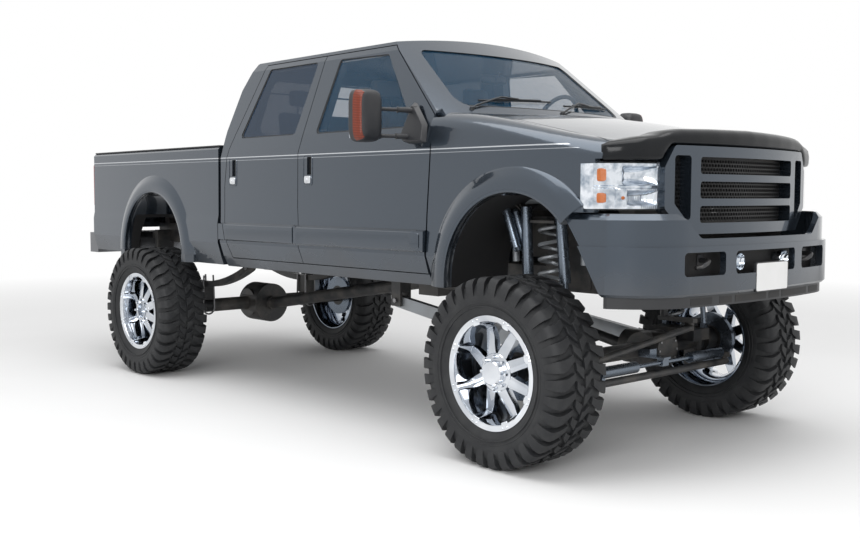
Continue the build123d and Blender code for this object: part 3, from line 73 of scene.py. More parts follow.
def soft_lamp(name, place, aim, width, height, power):
    """A wide rectangular lamp that faces a point."""
    data = bpy.data.lights.new(name, "AREA")
    data.shape = "RECTANGLE"
    data.size = width
    data.size_y = height
    data.energy = power
    lamp = bpy.data.objects.new(name, data)
    bpy.context.scene.collection.objects.link(lamp)
    direction = (Vector(aim) - Vector(place)).to_track_quat("-Z", "Y").to_matrix().to_4x4()
    lamp.matrix_world = Matrix.Translation(place) @ direction


soft_lamp("lamp_above", (1.5, -1.5, 7.5), (0, 0, 1.0), 9.0, 6.0, 420.0)
soft_lamp("lamp_side", (7.5, -9.0, 5.0), (0.5, 0, 1.0), 6.0, 4.0, 420.0)


class Signal:
    """A shader socket that takes part in Python arithmetic through Math nodes."""

    def __init__(self, finish, socket):
        self.finish = finish
        self.socket = socket

    def math(self, operation, *others):
        settings = {"operation": operation}
        values = {0: self}
        for place, other in enumerate(others, 1):
            values[place] = other
        return self.finish.node("ShaderNodeMath", settings, values)

    def __add__(self, other):
        return self.math("ADD", other)

    def __mul__(self, other):
        return self.math("MULTIPLY", other)

    def __sub__(self, other):
        return self.math("SUBTRACT", other)

    def __rsub__(self, other):
        return self.math("MULTIPLY", -1.0).math("ADD", other)

    def __gt__(self, other):
        return self.math("GREATER_THAN", other)

    def __lt__(self, other):
        return self.math("LESS_THAN", other)

    def __abs__(self):
        return self.math("ABSOLUTE")

    def clamp(self):
        """The value held between 0 and 1."""
        made = self.math("ADD", 0.0)
        made.socket.node.use_clamp = True
        return made


class Finish:
    """A procedural material that ends in one Principled shader."""

    def __init__(self, name, **constants):
        self.material = bpy.data.materials.new(name)
        self.material.use_nodes = True
        self.tree = self.material.node_tree
        self.shader = self.tree.nodes["Principled BSDF"]
        for words, value in constants.items():
            self.shader.inputs[words.replace("_", " ")].default_value = value

    def node(self, kind, settings=None, inputs=None, output=0):
        """A node of one type, with its settings made first, then its values and links."""
        made = self.tree.nodes.new(kind)
        for name, value in (settings or {}).items():
            setattr(made, name, value)
        for name, value in (inputs or {}).items():
            if isinstance(value, Signal):
                self.tree.links.new(value.socket, made.inputs[name])
            else:
                made.inputs[name].default_value = value
        return Signal(self, made.outputs[output])

    def place(self):
        """Where a point lies on the piece, in metres, as a vector and three numbers."""
        vector = self.node("ShaderNodeTexCoord", output="Object")
        parts = self.node("ShaderNodeSeparateXYZ", None, {0: vector})
        sides = [Signal(self, parts.socket.node.outputs[side]) for side in range(3)]
        return vector, sides

    def noise(self, vector, scale, detail=3.0, roughness=0.5):
        """Cloudy noise from 0 to 1."""
        values = {"Vector": vector, "Scale": scale, "Detail": detail, "Roughness": roughness}
        return self.node("ShaderNodeTexNoise", None, values)

    def ribs(self, vector, direction, scale):
        """Even waves from 0 to 1 that follow each other along one direction."""
        settings = {"bands_direction": direction}
        return self.node("ShaderNodeTexWave", settings, {"Vector": vector, "Scale": scale})

    def mix(self, factor, first, second):
        """A colour between two, by a factor."""
        return self.node(
            "ShaderNodeMix", {"data_type": "RGBA"}, {0: factor, 6: first, 7: second}, output=2
        )

    def feed(self, words, signal):
        """Links a varying value or colour to the shader."""
        self.tree.links.new(signal.socket, self.shader.inputs[words])

    def blend(self, factor, first, second):
        """Makes the base colour run between two colours, by a factor."""
        self.feed("Base Color", self.mix(factor, first, second))

    def bump(self, height, strength, distance):
        """Raises the surface by a height signal."""
        values = {"Height": height, "Strength": strength, "Distance": distance}
        self.feed("Normal", self.node("ShaderNodeBump", None, values))


def colour(red, green, blue):
    """An opaque colour."""
    return (red, green, blue, 1.0)


floor_finish = Finish("floor_pale", Roughness=0.9, Specular_IOR_Level=0.1)
floor_place, floor_sides = floor_finish.place()
floor_cloud = floor_finish.noise(floor_place, 0.6)
floor_finish.blend(floor_cloud, colour(0.86, 0.86, 0.86), colour(0.9, 0.9, 0.9))
# The floor turns white with distance for rays that are looked along, so no horizon shows
floor_seen = floor_finish.node("ShaderNodeLightPath", output=0)
floor_glossy = floor_finish.node("ShaderNodeLightPath", output=3)
floor_through = floor_finish.node("ShaderNodeLightPath", output=6)
floor_far = (floor_sides[0] * floor_sides[0] + floor_sides[1] * floor_sides[1]).math("SQRT")
floor_fade = ((floor_far - 4.5) * 0.13).clamp() * (floor_seen + floor_glossy + floor_through).clamp()
floor_white = floor_finish.tree.nodes.new("ShaderNodeEmission")
floor_white.inputs["Color"].default_value = colour(1.0, 1.0, 1.0)
floor_mix = floor_finish.tree.nodes.new("ShaderNodeMixShader")
floor_end = floor_finish.tree.nodes["Material Output"]
floor_finish.tree.links.new(floor_fade.socket, floor_mix.inputs[0])
floor_finish.tree.links.new(floor_finish.shader.outputs[0], floor_mix.inputs[1])
floor_finish.tree.links.new(floor_white.outputs[0], floor_mix.inputs[2])
floor_finish.tree.links.new(floor_mix.outputs[0], floor_end.inputs["Surface"])
floor_mesh = bpy.data.meshes.new("floor")
floor_mesh.from_pydata(
    [(x * floor_half, y * floor_half, 0) for x, y in ((-1, -1), (1, -1), (1, 1), (-1, 1))],
    [],
    [(0, 1, 2, 3)],
)
floor_mesh.materials.append(floor_finish.material)
floor = bpy.data.objects.new("floor", floor_mesh)
bpy.context.scene.collection.objects.link(floor)

room = bpy.data.worlds.new("room")
room.use_nodes = True
bpy.context.scene.world = room
room_nodes = room.node_tree.nodes
room_links = room.node_tree.links
room_light = 0.62
background = room_nodes["Background"]
paths = room_nodes.new("ShaderNodeLightPath")
seen = room_nodes.new("ShaderNodeMath")
seen.operation = "MAXIMUM"
room_links.new(paths.outputs["Is Camera Ray"], seen.inputs[0])
room_links.new(paths.outputs["Is Glossy Ray"], seen.inputs[1])
through = room_nodes.new("ShaderNodeMath")
through.operation = "MAXIMUM"
room_links.new(seen.outputs[0], through.inputs[0])
room_links.new(paths.outputs["Is Transmission Ray"], through.inputs[1])
level = room_nodes.new("ShaderNodeMath")
level.operation = "MULTIPLY_ADD"
level.inputs[1].default_value = 1.0 - room_light
level.inputs[2].default_value = room_light
room_links.new(through.outputs[0], level.inputs[0])
room_links.new(level.outputs[0], background.inputs["Strength"])
background.inputs["Color"].default_value = colour(1.0, 1.0, 1.0)


# Frame, axles and drive line. Pressed and cast steel in satin black, with clouds and specks of road dust.
# They are bolted and welded pieces that show under the body.
sharp_above = math.radians(32)


def dress(finish, *names):
    """Gives CAD nodes a finish, and rounds their shading below a sharp angle."""
    for name in names:
        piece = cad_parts[name]
        for place in piece.material_slots:
            place.material = finish.material
        piece.data.shade_smooth()
        piece.data.set_sharp_from_angle(angle=sharp_above)


def dusty(name, base, dust, amount, roughness, scale=7.0, **constants):
    """A finish with settled dust in clouds and finer specks."""
    made = Finish(name, **constants)
    vector = made.place()[0]
    clouds = made.noise(vector, scale, 5.0, 0.6)
    specks = made.noise(vector, scale * 30, 2.0, 0.5)
    cover = ((clouds - 0.42) * 3.0 * amount + (specks - 0.5) * 0.4 * amount).clamp()
    made.feed("Base Color", made.mix(cover, base, dust))
    made.feed("Roughness", (cover * 0.3 + roughness).clamp())
    made.bump(specks, 0.25, 0.002)
    return made


road_dust = colour(0.17, 0.155, 0.135)
chassis_steel = dusty("chassis_black", colour(0.025, 0.026, 0.028), road_dust, 0.55, 0.42)
dress(
    chassis_steel,
    "frame", "front_axle", "rear_axle", "knuckle_left", "knuckle_right", "leaf_springs",
    "driveshafts", "drag_link", "drop_arm", "tie_rod",
)
cast_block = dusty("cast_block", colour(0.10, 0.10, 0.10), road_dust, 0.4, 0.6)
dress(cast_block, "powertrain")
link_steel = dusty("link_grey", colour(0.30, 0.32, 0.34), road_dust, 0.3, 0.35, Metallic=0.5)
dress(link_steel, "radius_arms", "coil_springs")
tank_plastic = dusty("tank_black", colour(0.02, 0.02, 0.022), road_dust, 0.5, 0.5)
dress(tank_plastic, "fuel_tank", "nose_carrier")
bright_steel = dusty("bright_steel", colour(0.16, 0.19, 0.23), road_dust, 0.15, 0.26, Metallic=0.9)
dress(bright_steel, "shocks", "damper_barrels", "damper_rods", "damper_bracket")


# Wheels. Deep chromed one-piece wheels: eight spokes start at bolt pads on the lip, run back
# along the barrel and rise to the hub. Made as a turned barrel with lofted spokes added.
bevel_above = math.radians(35)


def new_piece(name, finish):
    """An empty piece with its slot and finish, to be built and handed to finish_piece."""
    mesh = bpy.data.meshes.new(name)
    piece = bpy.data.objects.new(name, mesh)
    bpy.context.scene.collection.objects.link(piece)
    mesh.materials.append(finish.material)
    return piece


def finish_piece(piece, work, body, smooth=35.0, bevel=0.0):
    """Writes the built mesh, rounds its edges, and lets it ride on its body."""
    bmesh.ops.recalc_face_normals(work, faces=work.faces)
    work.to_mesh(piece.data)
    work.free()
    if bevel:
        rounding = piece.modifiers.new("edges", "BEVEL")
        rounding.width = bevel
        rounding.segments = 2
        rounding.limit_method = "ANGLE"
        rounding.angle_limit = bevel_above
        rounding.harden_normals = False
    piece.data.shade_smooth()
    piece.data.set_sharp_from_angle(angle=math.radians(smooth))
    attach(piece, body)


def add_turned(work, profile, centre, axis_side, steps=96):
    """Turns (radius, outward) points about the wheel's axis, which runs along Y."""
    rings = []
    for step in range(steps):
        angle = 2 * math.pi * step / steps
        rings.append([
            work.verts.new(centre + Vector((r * math.cos(angle), axis_side * out, r * math.sin(angle))))
            for r, out in profile
        ])
    count = len(profile)
    for step in range(steps):
        now, after = rings[step], rings[(step + 1) % steps]
        for place in range(count):
            beyond = (place + 1) % count
            work.faces.new((now[place], now[beyond], after[beyond], after[place]))


def add_prism(work, loops):
    """Skins a list of equal loops of points and closes both ends."""
    rows = [[work.verts.new(point) for point in loop] for loop in loops]
    size = len(rows[0])
    for first, second in zip(rows, rows[1:]):
        for place in range(size):
            beyond = (place + 1) % size
            work.faces.new((first[place], first[beyond], second[beyond], second[place]))
    work.faces.new(rows[0])
    work.faces.new(list(reversed(rows[-1])))


def add_block(work, low, high):
    """A plain block between two corners."""
    x0, y0, z0 = low
    x1, y1, z1 = high
    bottom = [(x0, y0, z0), (x1, y0, z0), (x1, y1, z0), (x0, y1, z0)]
    top = [(x0, y0, z1), (x1, y0, z1), (x1, y1, z1), (x0, y1, z1)]
    add_prism(work, [[Vector(p) for p in bottom], [Vector(p) for p in top]])


def circle_turns(count):
    """Even turns round a circle, in radians."""
    return [2 * math.pi * k / count for k in range(count)]


def add_rod(work, start, end, radius, sides=20, end_radius=None):
    """A round bar, or a cone, between two points."""
    start, end = Vector(start), Vector(end)
    along = (end - start).normalized()
    across = along.orthogonal().normalized()
    other = along.cross(across)
    loops = []
    for point, size in ((start, radius), (end, end_radius if end_radius is not None else radius)):
        loops.append([
            point + (across * math.cos(turn) + other * math.sin(turn)) * size
            for turn in circle_turns(sides)
        ])
    add_prism(work, loops)


chrome = Finish("wheel_chrome", Metallic=1.0)
chrome_place, chrome_sides = chrome.place()
chrome_film = chrome.noise(chrome_place, 9.0, 4.0, 0.6)
# The chrome's colour holds painted shade and painted reflection. It turns dark blue-grey inward of the
# wheel's face, darkest deep in the barrel, and cloudy dark patches of painted reflection lie over the rest.
chrome_face_y = 1.150
chrome_shade = ((chrome_face_y - abs(chrome_sides[1])) * 5.0).clamp()
chrome_reflection_patches = chrome.noise(chrome_place, 5.5, 2.0, 0.4)
chrome_shade_and_reflection = (chrome_shade * 0.75 + (chrome_reflection_patches * 3.0 - 1.3).clamp() * 0.35).clamp()
chrome_bright = chrome.mix(chrome_film, colour(0.68, 0.71, 0.76), colour(0.84, 0.86, 0.88))
chrome.blend(chrome_shade_and_reflection, chrome_bright, colour(0.16, 0.20, 0.26))
chrome.feed("Roughness", chrome_film * 0.12 + 0.03)
dark_hub = dusty("hub_dark", colour(0.02, 0.02, 0.02), road_dust, 0.3, 0.4)

spoke_count = 8
nut_count = 8
rim_half = 0.165
bead = 0.284
lip_radius = 0.306
rim_profile = [
    (lip_radius, rim_half), (lip_radius, rim_half - 0.012), (bead + 0.006, rim_half - 0.026),
    (bead + 0.006, rim_half - 0.07), (bead - 0.02, rim_half - 0.1), (bead - 0.02, -rim_half + 0.09),
    (bead + 0.006, -rim_half + 0.06), (bead + 0.006, -rim_half + 0.026), (lip_radius, -rim_half + 0.012),
    (lip_radius, -rim_half), (lip_radius - 0.01, -rim_half), (bead - 0.008, -rim_half + 0.03),
    (bead - 0.032, -rim_half + 0.094), (bead - 0.032, rim_half - 0.104), (bead - 0.018, rim_half - 0.066),
    (bead - 0.014, rim_half - 0.014), (bead - 0.010, rim_half - 0.004), (bead - 0.004, rim_half),
]
# Spoke stations: radius, outward place of the face, outward place of the back, half width
spoke_rows = [
    (0.300, 0.166, 0.158, 0.026),
    (0.276, 0.167, 0.150, 0.028),
    (0.262, 0.164, 0.110, 0.022),
    (0.253, 0.120, 0.060, 0.020),
    (0.240, 0.078, 0.040, 0.024),
    (0.190, 0.088, 0.044, 0.030),
    (0.140, 0.106, 0.056, 0.031),
    (0.085, 0.122, 0.070, 0.034),
]
spoke_ridge = 0.35
# Turned profiles about the axle: radius, outward place
centre_profile = [(0.105, 0.062), (0.105, 0.116), (0.098, 0.122), (0.066, 0.124), (0.060, 0.062)]
hub_profile = [(0.0001, 0.05), (0.0001, -0.09), (0.17, -0.09), (0.17, -0.06), (0.07, -0.055), (0.07, 0.05)]
disc_profile = [(0.172, -0.058), (0.172, -0.09), (0.09, -0.092), (0.09, -0.056)]
front_cap = [(0.066, 0.09), (0.066, 0.150), (0.060, 0.158), (0.0001, 0.160), (0.0001, 0.09)]
rear_cap = [
    (0.064, 0.10), (0.064, 0.130), (0.058, 0.130), (0.056, 0.096), (0.0001, 0.094), (0.0001, 0.09),
]


def wheel_place(place):
    """Centre of a wheel and the side its outer face looks to."""
    low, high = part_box("tyre_" + place)
    side = -1.0 if place.endswith("right") else 1.0
    return (low + high) / 2, side


wheel_bodies = {
    "front_right": "wheel_fr", "front_left": "wheel_fl", "rear_right": "wheel_rr", "rear_left": "wheel_rl",
}
for place, body in wheel_bodies.items():
    centre, side = wheel_place(place)
    rim = new_piece("rim_chrome_" + place, chrome)
    work = bmesh.new()
    add_turned(work, rim_profile, centre, side)
    add_turned(work, centre_profile, centre, side, 48)
    for number in range(spoke_count):
        angle = math.radians(360 / spoke_count * (number + 0.5))
        out = Vector((math.cos(angle), 0, math.sin(angle)))
        across = Vector((-math.sin(angle), 0, math.cos(angle)))
        loops = []
        for radius, face, back, half in spoke_rows:
            middle = centre + out * radius
            loops.append([
                middle + across * half + Vector((0, side * back, 0)),
                middle + across * half + Vector((0, side * (face - 0.006), 0)),
                middle + across * half * spoke_ridge + Vector((0, side * face, 0)),
                middle - across * half * spoke_ridge + Vector((0, side * face, 0)),
                middle - across * half + Vector((0, side * (face - 0.006), 0)),
                middle - across * half + Vector((0, side * back, 0)),
            ])
        add_prism(work, loops)
        for spread in (-0.6, 0.6):
            pad = centre + out * 0.291 + across * 0.026 * spread
            add_rod(work, pad + Vector((0, side * 0.164, 0)), pad + Vector((0, side * 0.170, 0)), 0.006, 8)
    for number in range(nut_count):
        angle = math.radians(360 / nut_count * number)
        spot = centre + Vector((math.cos(angle), 0, math.sin(angle))) * 0.085
        add_rod(
            work, spot + Vector((0, side * 0.10, 0)), spot + Vector((0, side * 0.142, 0)), 0.012, 6, 0.0095
        )
    finish_piece(rim, work, body, 30, 0.0022)
    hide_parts("rim_" + place)

    hub = new_piece("hub_" + place, dark_hub)
    work = bmesh.new()
    add_turned(work, hub_profile, centre, side, 48)
    finish_piece(hub, work, body)
    disc = new_piece("brake_disc_" + place, bright_steel)
    work = bmesh.new()
    add_turned(work, disc_profile, centre, side, 64)
    finish_piece(disc, work, body)
    cap = new_piece("centre_cap_" + place, chrome)
    work = bmesh.new()
    add_turned(work, front_cap if place.startswith("front") else rear_cap, centre, side, 48)
    finish_piece(cap, work, body)


# Tyres. Mud tyres on their wheels: a smooth sidewall, hooked shoulder lugs that run down the
# side, and broken blocks along the middle. Each lug is a loft bent round the tyre.
rubber = Finish("tyre_rubber", Specular_IOR_Level=0.35)
rubber_place = rubber.place()[0]
rubber_cloud = rubber.noise(rubber_place, 11.0, 5.0, 0.62)
rubber_grain = rubber.noise(rubber_place, 420.0, 2.0)
rubber_cover = ((rubber_cloud - 0.4) * 2.2).clamp()
rubber.blend(rubber_cover, colour(0.016, 0.017, 0.019), colour(0.040, 0.041, 0.042))
rubber.feed("Roughness", rubber_cover * 0.2 + 0.55)
rubber.bump(rubber_grain, 0.2, 0.0006)

tyre_radius = 0.508
groove_radius = tyre_radius - 0.017
lug_count = 34
carcass = [
    (bead + 0.007, 0.139), (bead + 0.018, 0.158), (bead + 0.040, 0.172), (bead + 0.075, 0.186),
    (bead + 0.110, 0.191), (groove_radius - 0.085, 0.190), (groove_radius - 0.05, 0.183),
    (groove_radius - 0.022, 0.168), (groove_radius - 0.006, 0.140), (groove_radius, 0.08),
]
carcass_ring = carcass + [(r, -y) for r, y in reversed(carcass)]
# Shoulder lug section: radius, distance from the middle plane
shoulder_rows = [
    (groove_radius - 0.098, 0.1865), (groove_radius - 0.060, 0.1955), (tyre_radius - 0.032, 0.1925),
    (tyre_radius - 0.008, 0.176), (tyre_radius - 0.001, 0.158), (tyre_radius, 0.128), (tyre_radius, 0.098),
    (tyre_radius, 0.070),
]
shoulder_foot = 0.024
# Hook of a lug: turn in degrees at each row, and its half angle
shoulder_turn = (0.0, 0.0, 0.0, 0.0, 0.0, 0.6, 2.4, 4.4)
shoulder_half = (2.2, 3.0, 3.3, 3.4, 3.4, 3.1, 2.5, 2.2)
middle_rows = (0.006, 0.030, 0.058)
middle_turn = (0.0, 1.6, 4.6)
middle_half = (3.2, 2.6, 2.2)


def bent(centre, radius, out, degrees):
    """Point on the tyre at a radius, a place along the axle and an angle."""
    angle = math.radians(degrees)
    return centre + Vector((radius * math.cos(angle), out, radius * math.sin(angle)))


for place, body in wheel_bodies.items():
    centre, side = wheel_place(place)
    tyre = new_piece("tyre_tread_" + place, rubber)
    work = bmesh.new()
    add_turned(work, carcass_ring, centre, 1.0, 144)
    for wall in (-1, 1):
        for rib in (0.066, 0.086):
            ring = [
                (bead + rib, wall * 0.184), (bead + rib + 0.002, wall * 0.1905),
                (bead + rib + 0.007, wall * 0.1912), (bead + rib + 0.009, wall * 0.186),
            ]
            add_turned(work, ring, centre, 1.0, 96)
        for number in range(lug_count):
            start = 360 / lug_count * (number + (0.5 if wall > 0 else 0.0))
            heel = []
            toe = []
            for (radius, out), turn, half in zip(shoulder_rows, shoulder_turn, shoulder_half):
                heel.append(bent(centre, radius, wall * out, start + turn - half))
                toe.append(bent(centre, radius, wall * out, start + turn + half))
            last = len(shoulder_rows) - 1
            for place_in in (last, 0):
                radius, out = shoulder_rows[place_in]
                sunk = radius - shoulder_foot if place_in == last else radius - 0.004
                inward = out if place_in == last else out - 0.02
                turn, half = shoulder_turn[place_in], shoulder_half[place_in]
                heel.append(bent(centre, sunk, wall * inward, start + turn - half))
                toe.append(bent(centre, sunk, wall * inward, start + turn + half))
            add_prism(work, [heel, toe])
            heel, toe = [], []
            shift = start + 180 / lug_count
            for out, turn, half in zip(middle_rows, middle_turn, middle_half):
                heel.append(bent(centre, tyre_radius - 0.0005, wall * out, shift + turn - half))
                toe.append(bent(centre, tyre_radius - 0.0005, wall * out, shift + turn + half))
            foot_heel = []
            foot_toe = []
            for out, turn, half in zip(middle_rows, middle_turn, middle_half):
                foot_heel.append(bent(centre, groove_radius - 0.003, wall * out, shift + turn - half - 0.3))
                foot_toe.append(bent(centre, groove_radius - 0.003, wall * out, shift + turn + half + 0.3))
            outline = heel + list(reversed(toe))
            foot = foot_heel + list(reversed(foot_toe))
            add_prism(work, [outline, foot])
    finish_piece(tyre, work, body, 40, 0.0018)
    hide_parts("tyre_" + place)


# Painted body. Pressed steel panels in dark grey metallic under clear coat, cleaner above and
# dusty along the sills. A thin silver stripe runs along the shoulder, a fainter one below it.
paint = Finish("body_paint", Coat_Weight=1.0, Coat_Roughness=0.03, Coat_IOR=1.5)
paint_place, paint_sides = paint.place()
paint_x, paint_y, paint_z = paint_sides
flake = paint.noise(paint_place, 900.0, 1.0)
haze = paint.noise(paint_place, 2.2, 4.0, 0.55)
base = paint.mix(flake, colour(0.028, 0.039, 0.055), colour(0.061, 0.080, 0.104))
# The wheel wells wear black underseal instead of paint
axle_x = wheel_place("front_right")[0].x
well_half = 0.62
front_well_top = 1.44
rear_well_x = -1.801
rear_well_top = 1.275
well_side = 0.9545
well_end = 2.44
front_well = (abs(paint_x - axle_x) < well_half) * (paint_z < front_well_top)
rear_well = (abs(paint_x - rear_well_x) < well_half) * (paint_z < rear_well_top)
underseal = (abs(paint_y) < well_side) * (front_well + rear_well).clamp() * (paint_x < well_end)
stripe_z = 1.7045
stripe_slope = -0.0022
stripe_half = 0.0032
thin_drop = 0.021
thin_half = 0.0016
stripe_height = paint_z - (paint_x * stripe_slope + stripe_z)
stripe_side = 0.955
on_side = abs(paint_y) > stripe_side
stripe = (abs(stripe_height) < stripe_half) * on_side
sill_top = 1.16
sill_dust = ((sill_top - paint_z) * 2.6 + (haze - 0.55) * 1.6).clamp() * 0.42
thin_line = (abs(stripe_height + thin_drop) < thin_half) * on_side * 0.6
stripe = (stripe + thin_line).clamp()
dusted = paint.mix(sill_dust, base, colour(0.11, 0.10, 0.09))
painted = paint.mix(stripe, dusted, colour(0.55, 0.57, 0.60))
paint.blend(underseal, painted, colour(0.008, 0.008, 0.009))
paint.feed("Metallic", (0.82 - sill_dust - underseal).clamp())
paint.feed("Roughness", (haze * 0.06 + 0.20 + sill_dust * 0.5 + underseal * 0.6).clamp())
paint.feed("Coat Weight", (0.85 - sill_dust * 1.4 - underseal).clamp())
paint.bump(flake, 0.04, 0.0004)
dress(
    paint,
    "cab_shell", "bed_box", "fenders", "hood", "tailgate", "front_bumper",
    "door_front_left", "door_front_right", "door_rear_left", "door_rear_right",
)

# Glass. Tempered panes seated in the openings of the doors and the cab: faintly blue in the
# front doors and the cab, and dark privacy glass in the rear doors.
tint = Finish("window_tint", Roughness=0.02, Specular_IOR_Level=0.6, IOR=1.5)
tint_place = tint.place()[0]
tint_film = tint.noise(tint_place, 3.0, 3.0)
tint.blend(tint_film, colour(0.012, 0.060, 0.120), colour(0.020, 0.080, 0.150))
tint.feed("Alpha", tint_film * 0.05 + 0.27)
dress(tint, "glass_front_left", "glass_front_right", "cab_glass")
privacy = Finish("privacy_glass", Roughness=0.02, Specular_IOR_Level=0.35, IOR=1.5)
privacy_place = privacy.place()[0]
privacy_film = privacy.noise(privacy_place, 3.0, 3.0)
privacy.blend(privacy_film, colour(0.010, 0.026, 0.052), colour(0.016, 0.036, 0.068))
privacy.feed("Alpha", privacy_film * 0.06 + 0.74)
dress(privacy, "glass_rear_left", "glass_rear_right")

# Black plastic. Grained and a little cloudy: the dashboard and the valance, and later the plate
# frame, the wipers and the small mouldings on the bed, in the engine bay and in the cab.
black_plastic = Finish("black_plastic")
plastic_place = black_plastic.place()[0]
plastic_grain = black_plastic.noise(plastic_place, 260.0, 2.0)
plastic_cloud = black_plastic.noise(plastic_place, 6.0, 4.0)
black_plastic.blend(plastic_cloud, colour(0.014, 0.015, 0.017), colour(0.030, 0.031, 0.034))
black_plastic.feed("Roughness", plastic_cloud * 0.15 + 0.36)
black_plastic.bump(plastic_grain, 0.25, 0.0005)
dress(black_plastic, "dashboard", "front_valance")

# Deflector, rear bumper and lamp lenses. Smoked acrylic, dark worn chrome, ribbed red plastic
# with pale reversing lamps in it, and smooth clear plastic.
smoke = Finish("smoked_deflector", Specular_IOR_Level=0.25)
smoke_place = smoke.place()[0]
smoke_film = smoke.noise(smoke_place, 5.0, 3.0)
smoke.blend(smoke_film, colour(0.003, 0.004, 0.005), colour(0.008, 0.009, 0.011))
smoke.feed("Roughness", smoke_film * 0.1 + 0.14)

bumper_chrome = Finish("bumper_chrome", Metallic=1.0)
step_place = bumper_chrome.place()[0]
step_film = bumper_chrome.noise(step_place, 5.0, 4.0)
bumper_chrome.blend(step_film, colour(0.12, 0.125, 0.135), colour(0.20, 0.205, 0.215))
bumper_chrome.feed("Roughness", step_film * 0.14 + 0.05)
dress(bumper_chrome, "rear_bumper")

red_lens = Finish("lamp_red", Specular_IOR_Level=0.35, Roughness=0.15)
red_place, red_sides = red_lens.place()
red_ribs = red_lens.ribs(red_place, "Z", 60.0)
reverse_z = 1.452
reverse_half = 0.036
reverse_side = 0.967
reverse_lamp = (abs(red_sides[2] - reverse_z) < reverse_half) * (abs(red_sides[1]) < reverse_side)
red_shade = red_lens.mix(red_ribs, colour(0.22, 0.004, 0.004), colour(0.40, 0.012, 0.010))
red_lens.blend(reverse_lamp, red_shade, colour(0.62, 0.63, 0.64))
red_lens.bump(red_ribs, 0.4, 0.001)
dress(red_lens, "tail_lamps")

clear_lens = Finish("lamp_clear", Coat_Weight=1.0, Coat_Roughness=0.01, Roughness=0.03)
clear_place = clear_lens.place()[0]
clear_film = clear_lens.noise(clear_place, 12.0, 2.0)
clear_lens.blend(clear_film, colour(0.10, 0.12, 0.14), colour(0.16, 0.18, 0.20))
clear_lens.feed("Alpha", clear_film * 0.04 + 0.06)
dress(clear_lens, "head_lamps")

# Seats. Two front seats and a rear bench: foam cushions in matte covers on dark plastic boxes.
# Each cushion is blown up as sewn cloth, then its channels are pressed in.
seat_cover = dusty("seat_cover", colour(0.095, 0.090, 0.085), colour(0.14, 0.13, 0.12), 0.5, 0.62, 9.0)
seat_place = seat_cover.place()[0]
seat_weave = seat_cover.node("ShaderNodeTexVoronoi", None, {"Vector": seat_place, "Scale": 420.0})
seat_cover.bump(seat_weave, 0.35, 0.0012)
box_plastic = dusty("seat_box", colour(0.022, 0.022, 0.024), colour(0.06, 0.06, 0.06), 0.4, 0.5)
cushion_voxel = 0.015
cushion_cap = 0.018
cloth_steps = 20
cloth_pressure = 4.0
channel_depth = 0.007
channel_width = 0.009


def add_tube(work, path, radius, sides=10, closed=False):
    """A round tube along a line of points."""
    points = [Vector(point) for point in path]
    count = len(points)
    rows = []
    across = None
    for place, point in enumerate(points):
        before = points[place - 1] if place or closed else point
        after = points[(place + 1) % count] if place < count - 1 or closed else point
        along = (after - before).normalized()
        if across is None:
            across = along.orthogonal().normalized()
        across = (across - along * across.dot(along)).normalized()
        other = along.cross(across)
        rows.append([
            work.verts.new(point + (across * math.cos(turn) + other * math.sin(turn)) * radius)
            for turn in circle_turns(sides)
        ])
    pairs = list(zip(rows, rows[1:])) + ([(rows[-1], rows[0])] if closed else [])
    for first, second in pairs:
        for place in range(sides):
            beyond = (place + 1) % sides
            work.faces.new((first[place], first[beyond], second[beyond], second[place]))
    if not closed:
        work.faces.new(rows[0])
        work.faces.new(list(reversed(rows[-1])))


def make_cushion(name, middle, size, lean):
    """A plump closed form of a size, still flat, kept with its place and lean."""
    mesh = bpy.data.meshes.new(name)
    work = bmesh.new()
    bmesh.ops.create_cube(work, size=1.0)
    bmesh.ops.scale(work, vec=size, verts=work.verts)
    bmesh.ops.bevel(
        work, geom=work.edges[:], offset=min(size) * 0.24, segments=3, affect="EDGES", profile=0.5
    )
    work.to_mesh(mesh)
    work.free()
    piece = bpy.data.objects.new(name, mesh)
    bpy.context.scene.collection.objects.link(piece)
    mesh.materials.append(seat_cover.material)
    remesh = piece.modifiers.new("voxels", "REMESH")
    remesh.mode = "VOXEL"
    remesh.voxel_size = cushion_voxel
    graph = bpy.context.evaluated_depsgraph_get()
    solid = bpy.data.meshes.new_from_object(piece.evaluated_get(graph))
    piece.modifiers.clear()
    piece.data = solid
    return piece, Vector(middle), Vector(size), math.radians(lean)


def blow_up(pieces, pressure):
    """Blows sewn covers up together, and keeps each point near where it started."""
    starts = {}
    for piece in pieces:
        cloth = piece.modifiers.new("cloth", "CLOTH")
        cloth.settings.use_pressure = True
        cloth.settings.uniform_pressure_force = pressure
        cloth.settings.effector_weights.gravity = 0.0
        starts[piece.name] = [vertex.co.copy() for vertex in piece.data.vertices]
    for step in range(1, cloth_steps + 1):
        bpy.context.scene.frame_set(step)
    graph = bpy.context.evaluated_depsgraph_get()
    for piece in pieces:
        ends = [vertex.co.copy() for vertex in piece.evaluated_get(graph).data.vertices]
        for vertex, start, end in zip(piece.data.vertices, starts[piece.name], ends):
            move = end - start
            if move.length > cushion_cap:
                move = move * (cushion_cap / move.length)
            vertex.co = start + move
    for piece in pieces:
        piece.modifiers.clear()
    bpy.context.scene.frame_set(1)


def press_channels(piece, size, seams, across_seam, face):
    """Presses sewn channels into one face, where the cover is stitched down."""
    face_half = size[face] / 2
    for vertex in piece.data.vertices:
        near = max(0.0, vertex.co[face] / face_half)
        sunk = 0.0
        for seam in seams:
            gap = (vertex.co[1] - seam * size[1] / 2) / channel_width
            sunk = max(sunk, math.exp(-gap * gap))
        if across_seam is not None:
            other = 2 if face == 0 else 0
            gap = (vertex.co[other] - across_seam * size[other] / 2) / channel_width
            inside = 1.0 if abs(vertex.co[1]) < abs(seams[-1]) * size[1] / 2 else 0.0
            sunk = max(sunk, math.exp(-gap * gap) * inside)
        vertex.co[face] -= channel_depth * sunk * near


seat_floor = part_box("seats")[0].z
front_seat_x = axle_x - 1.600
front_seat_y = 0.430
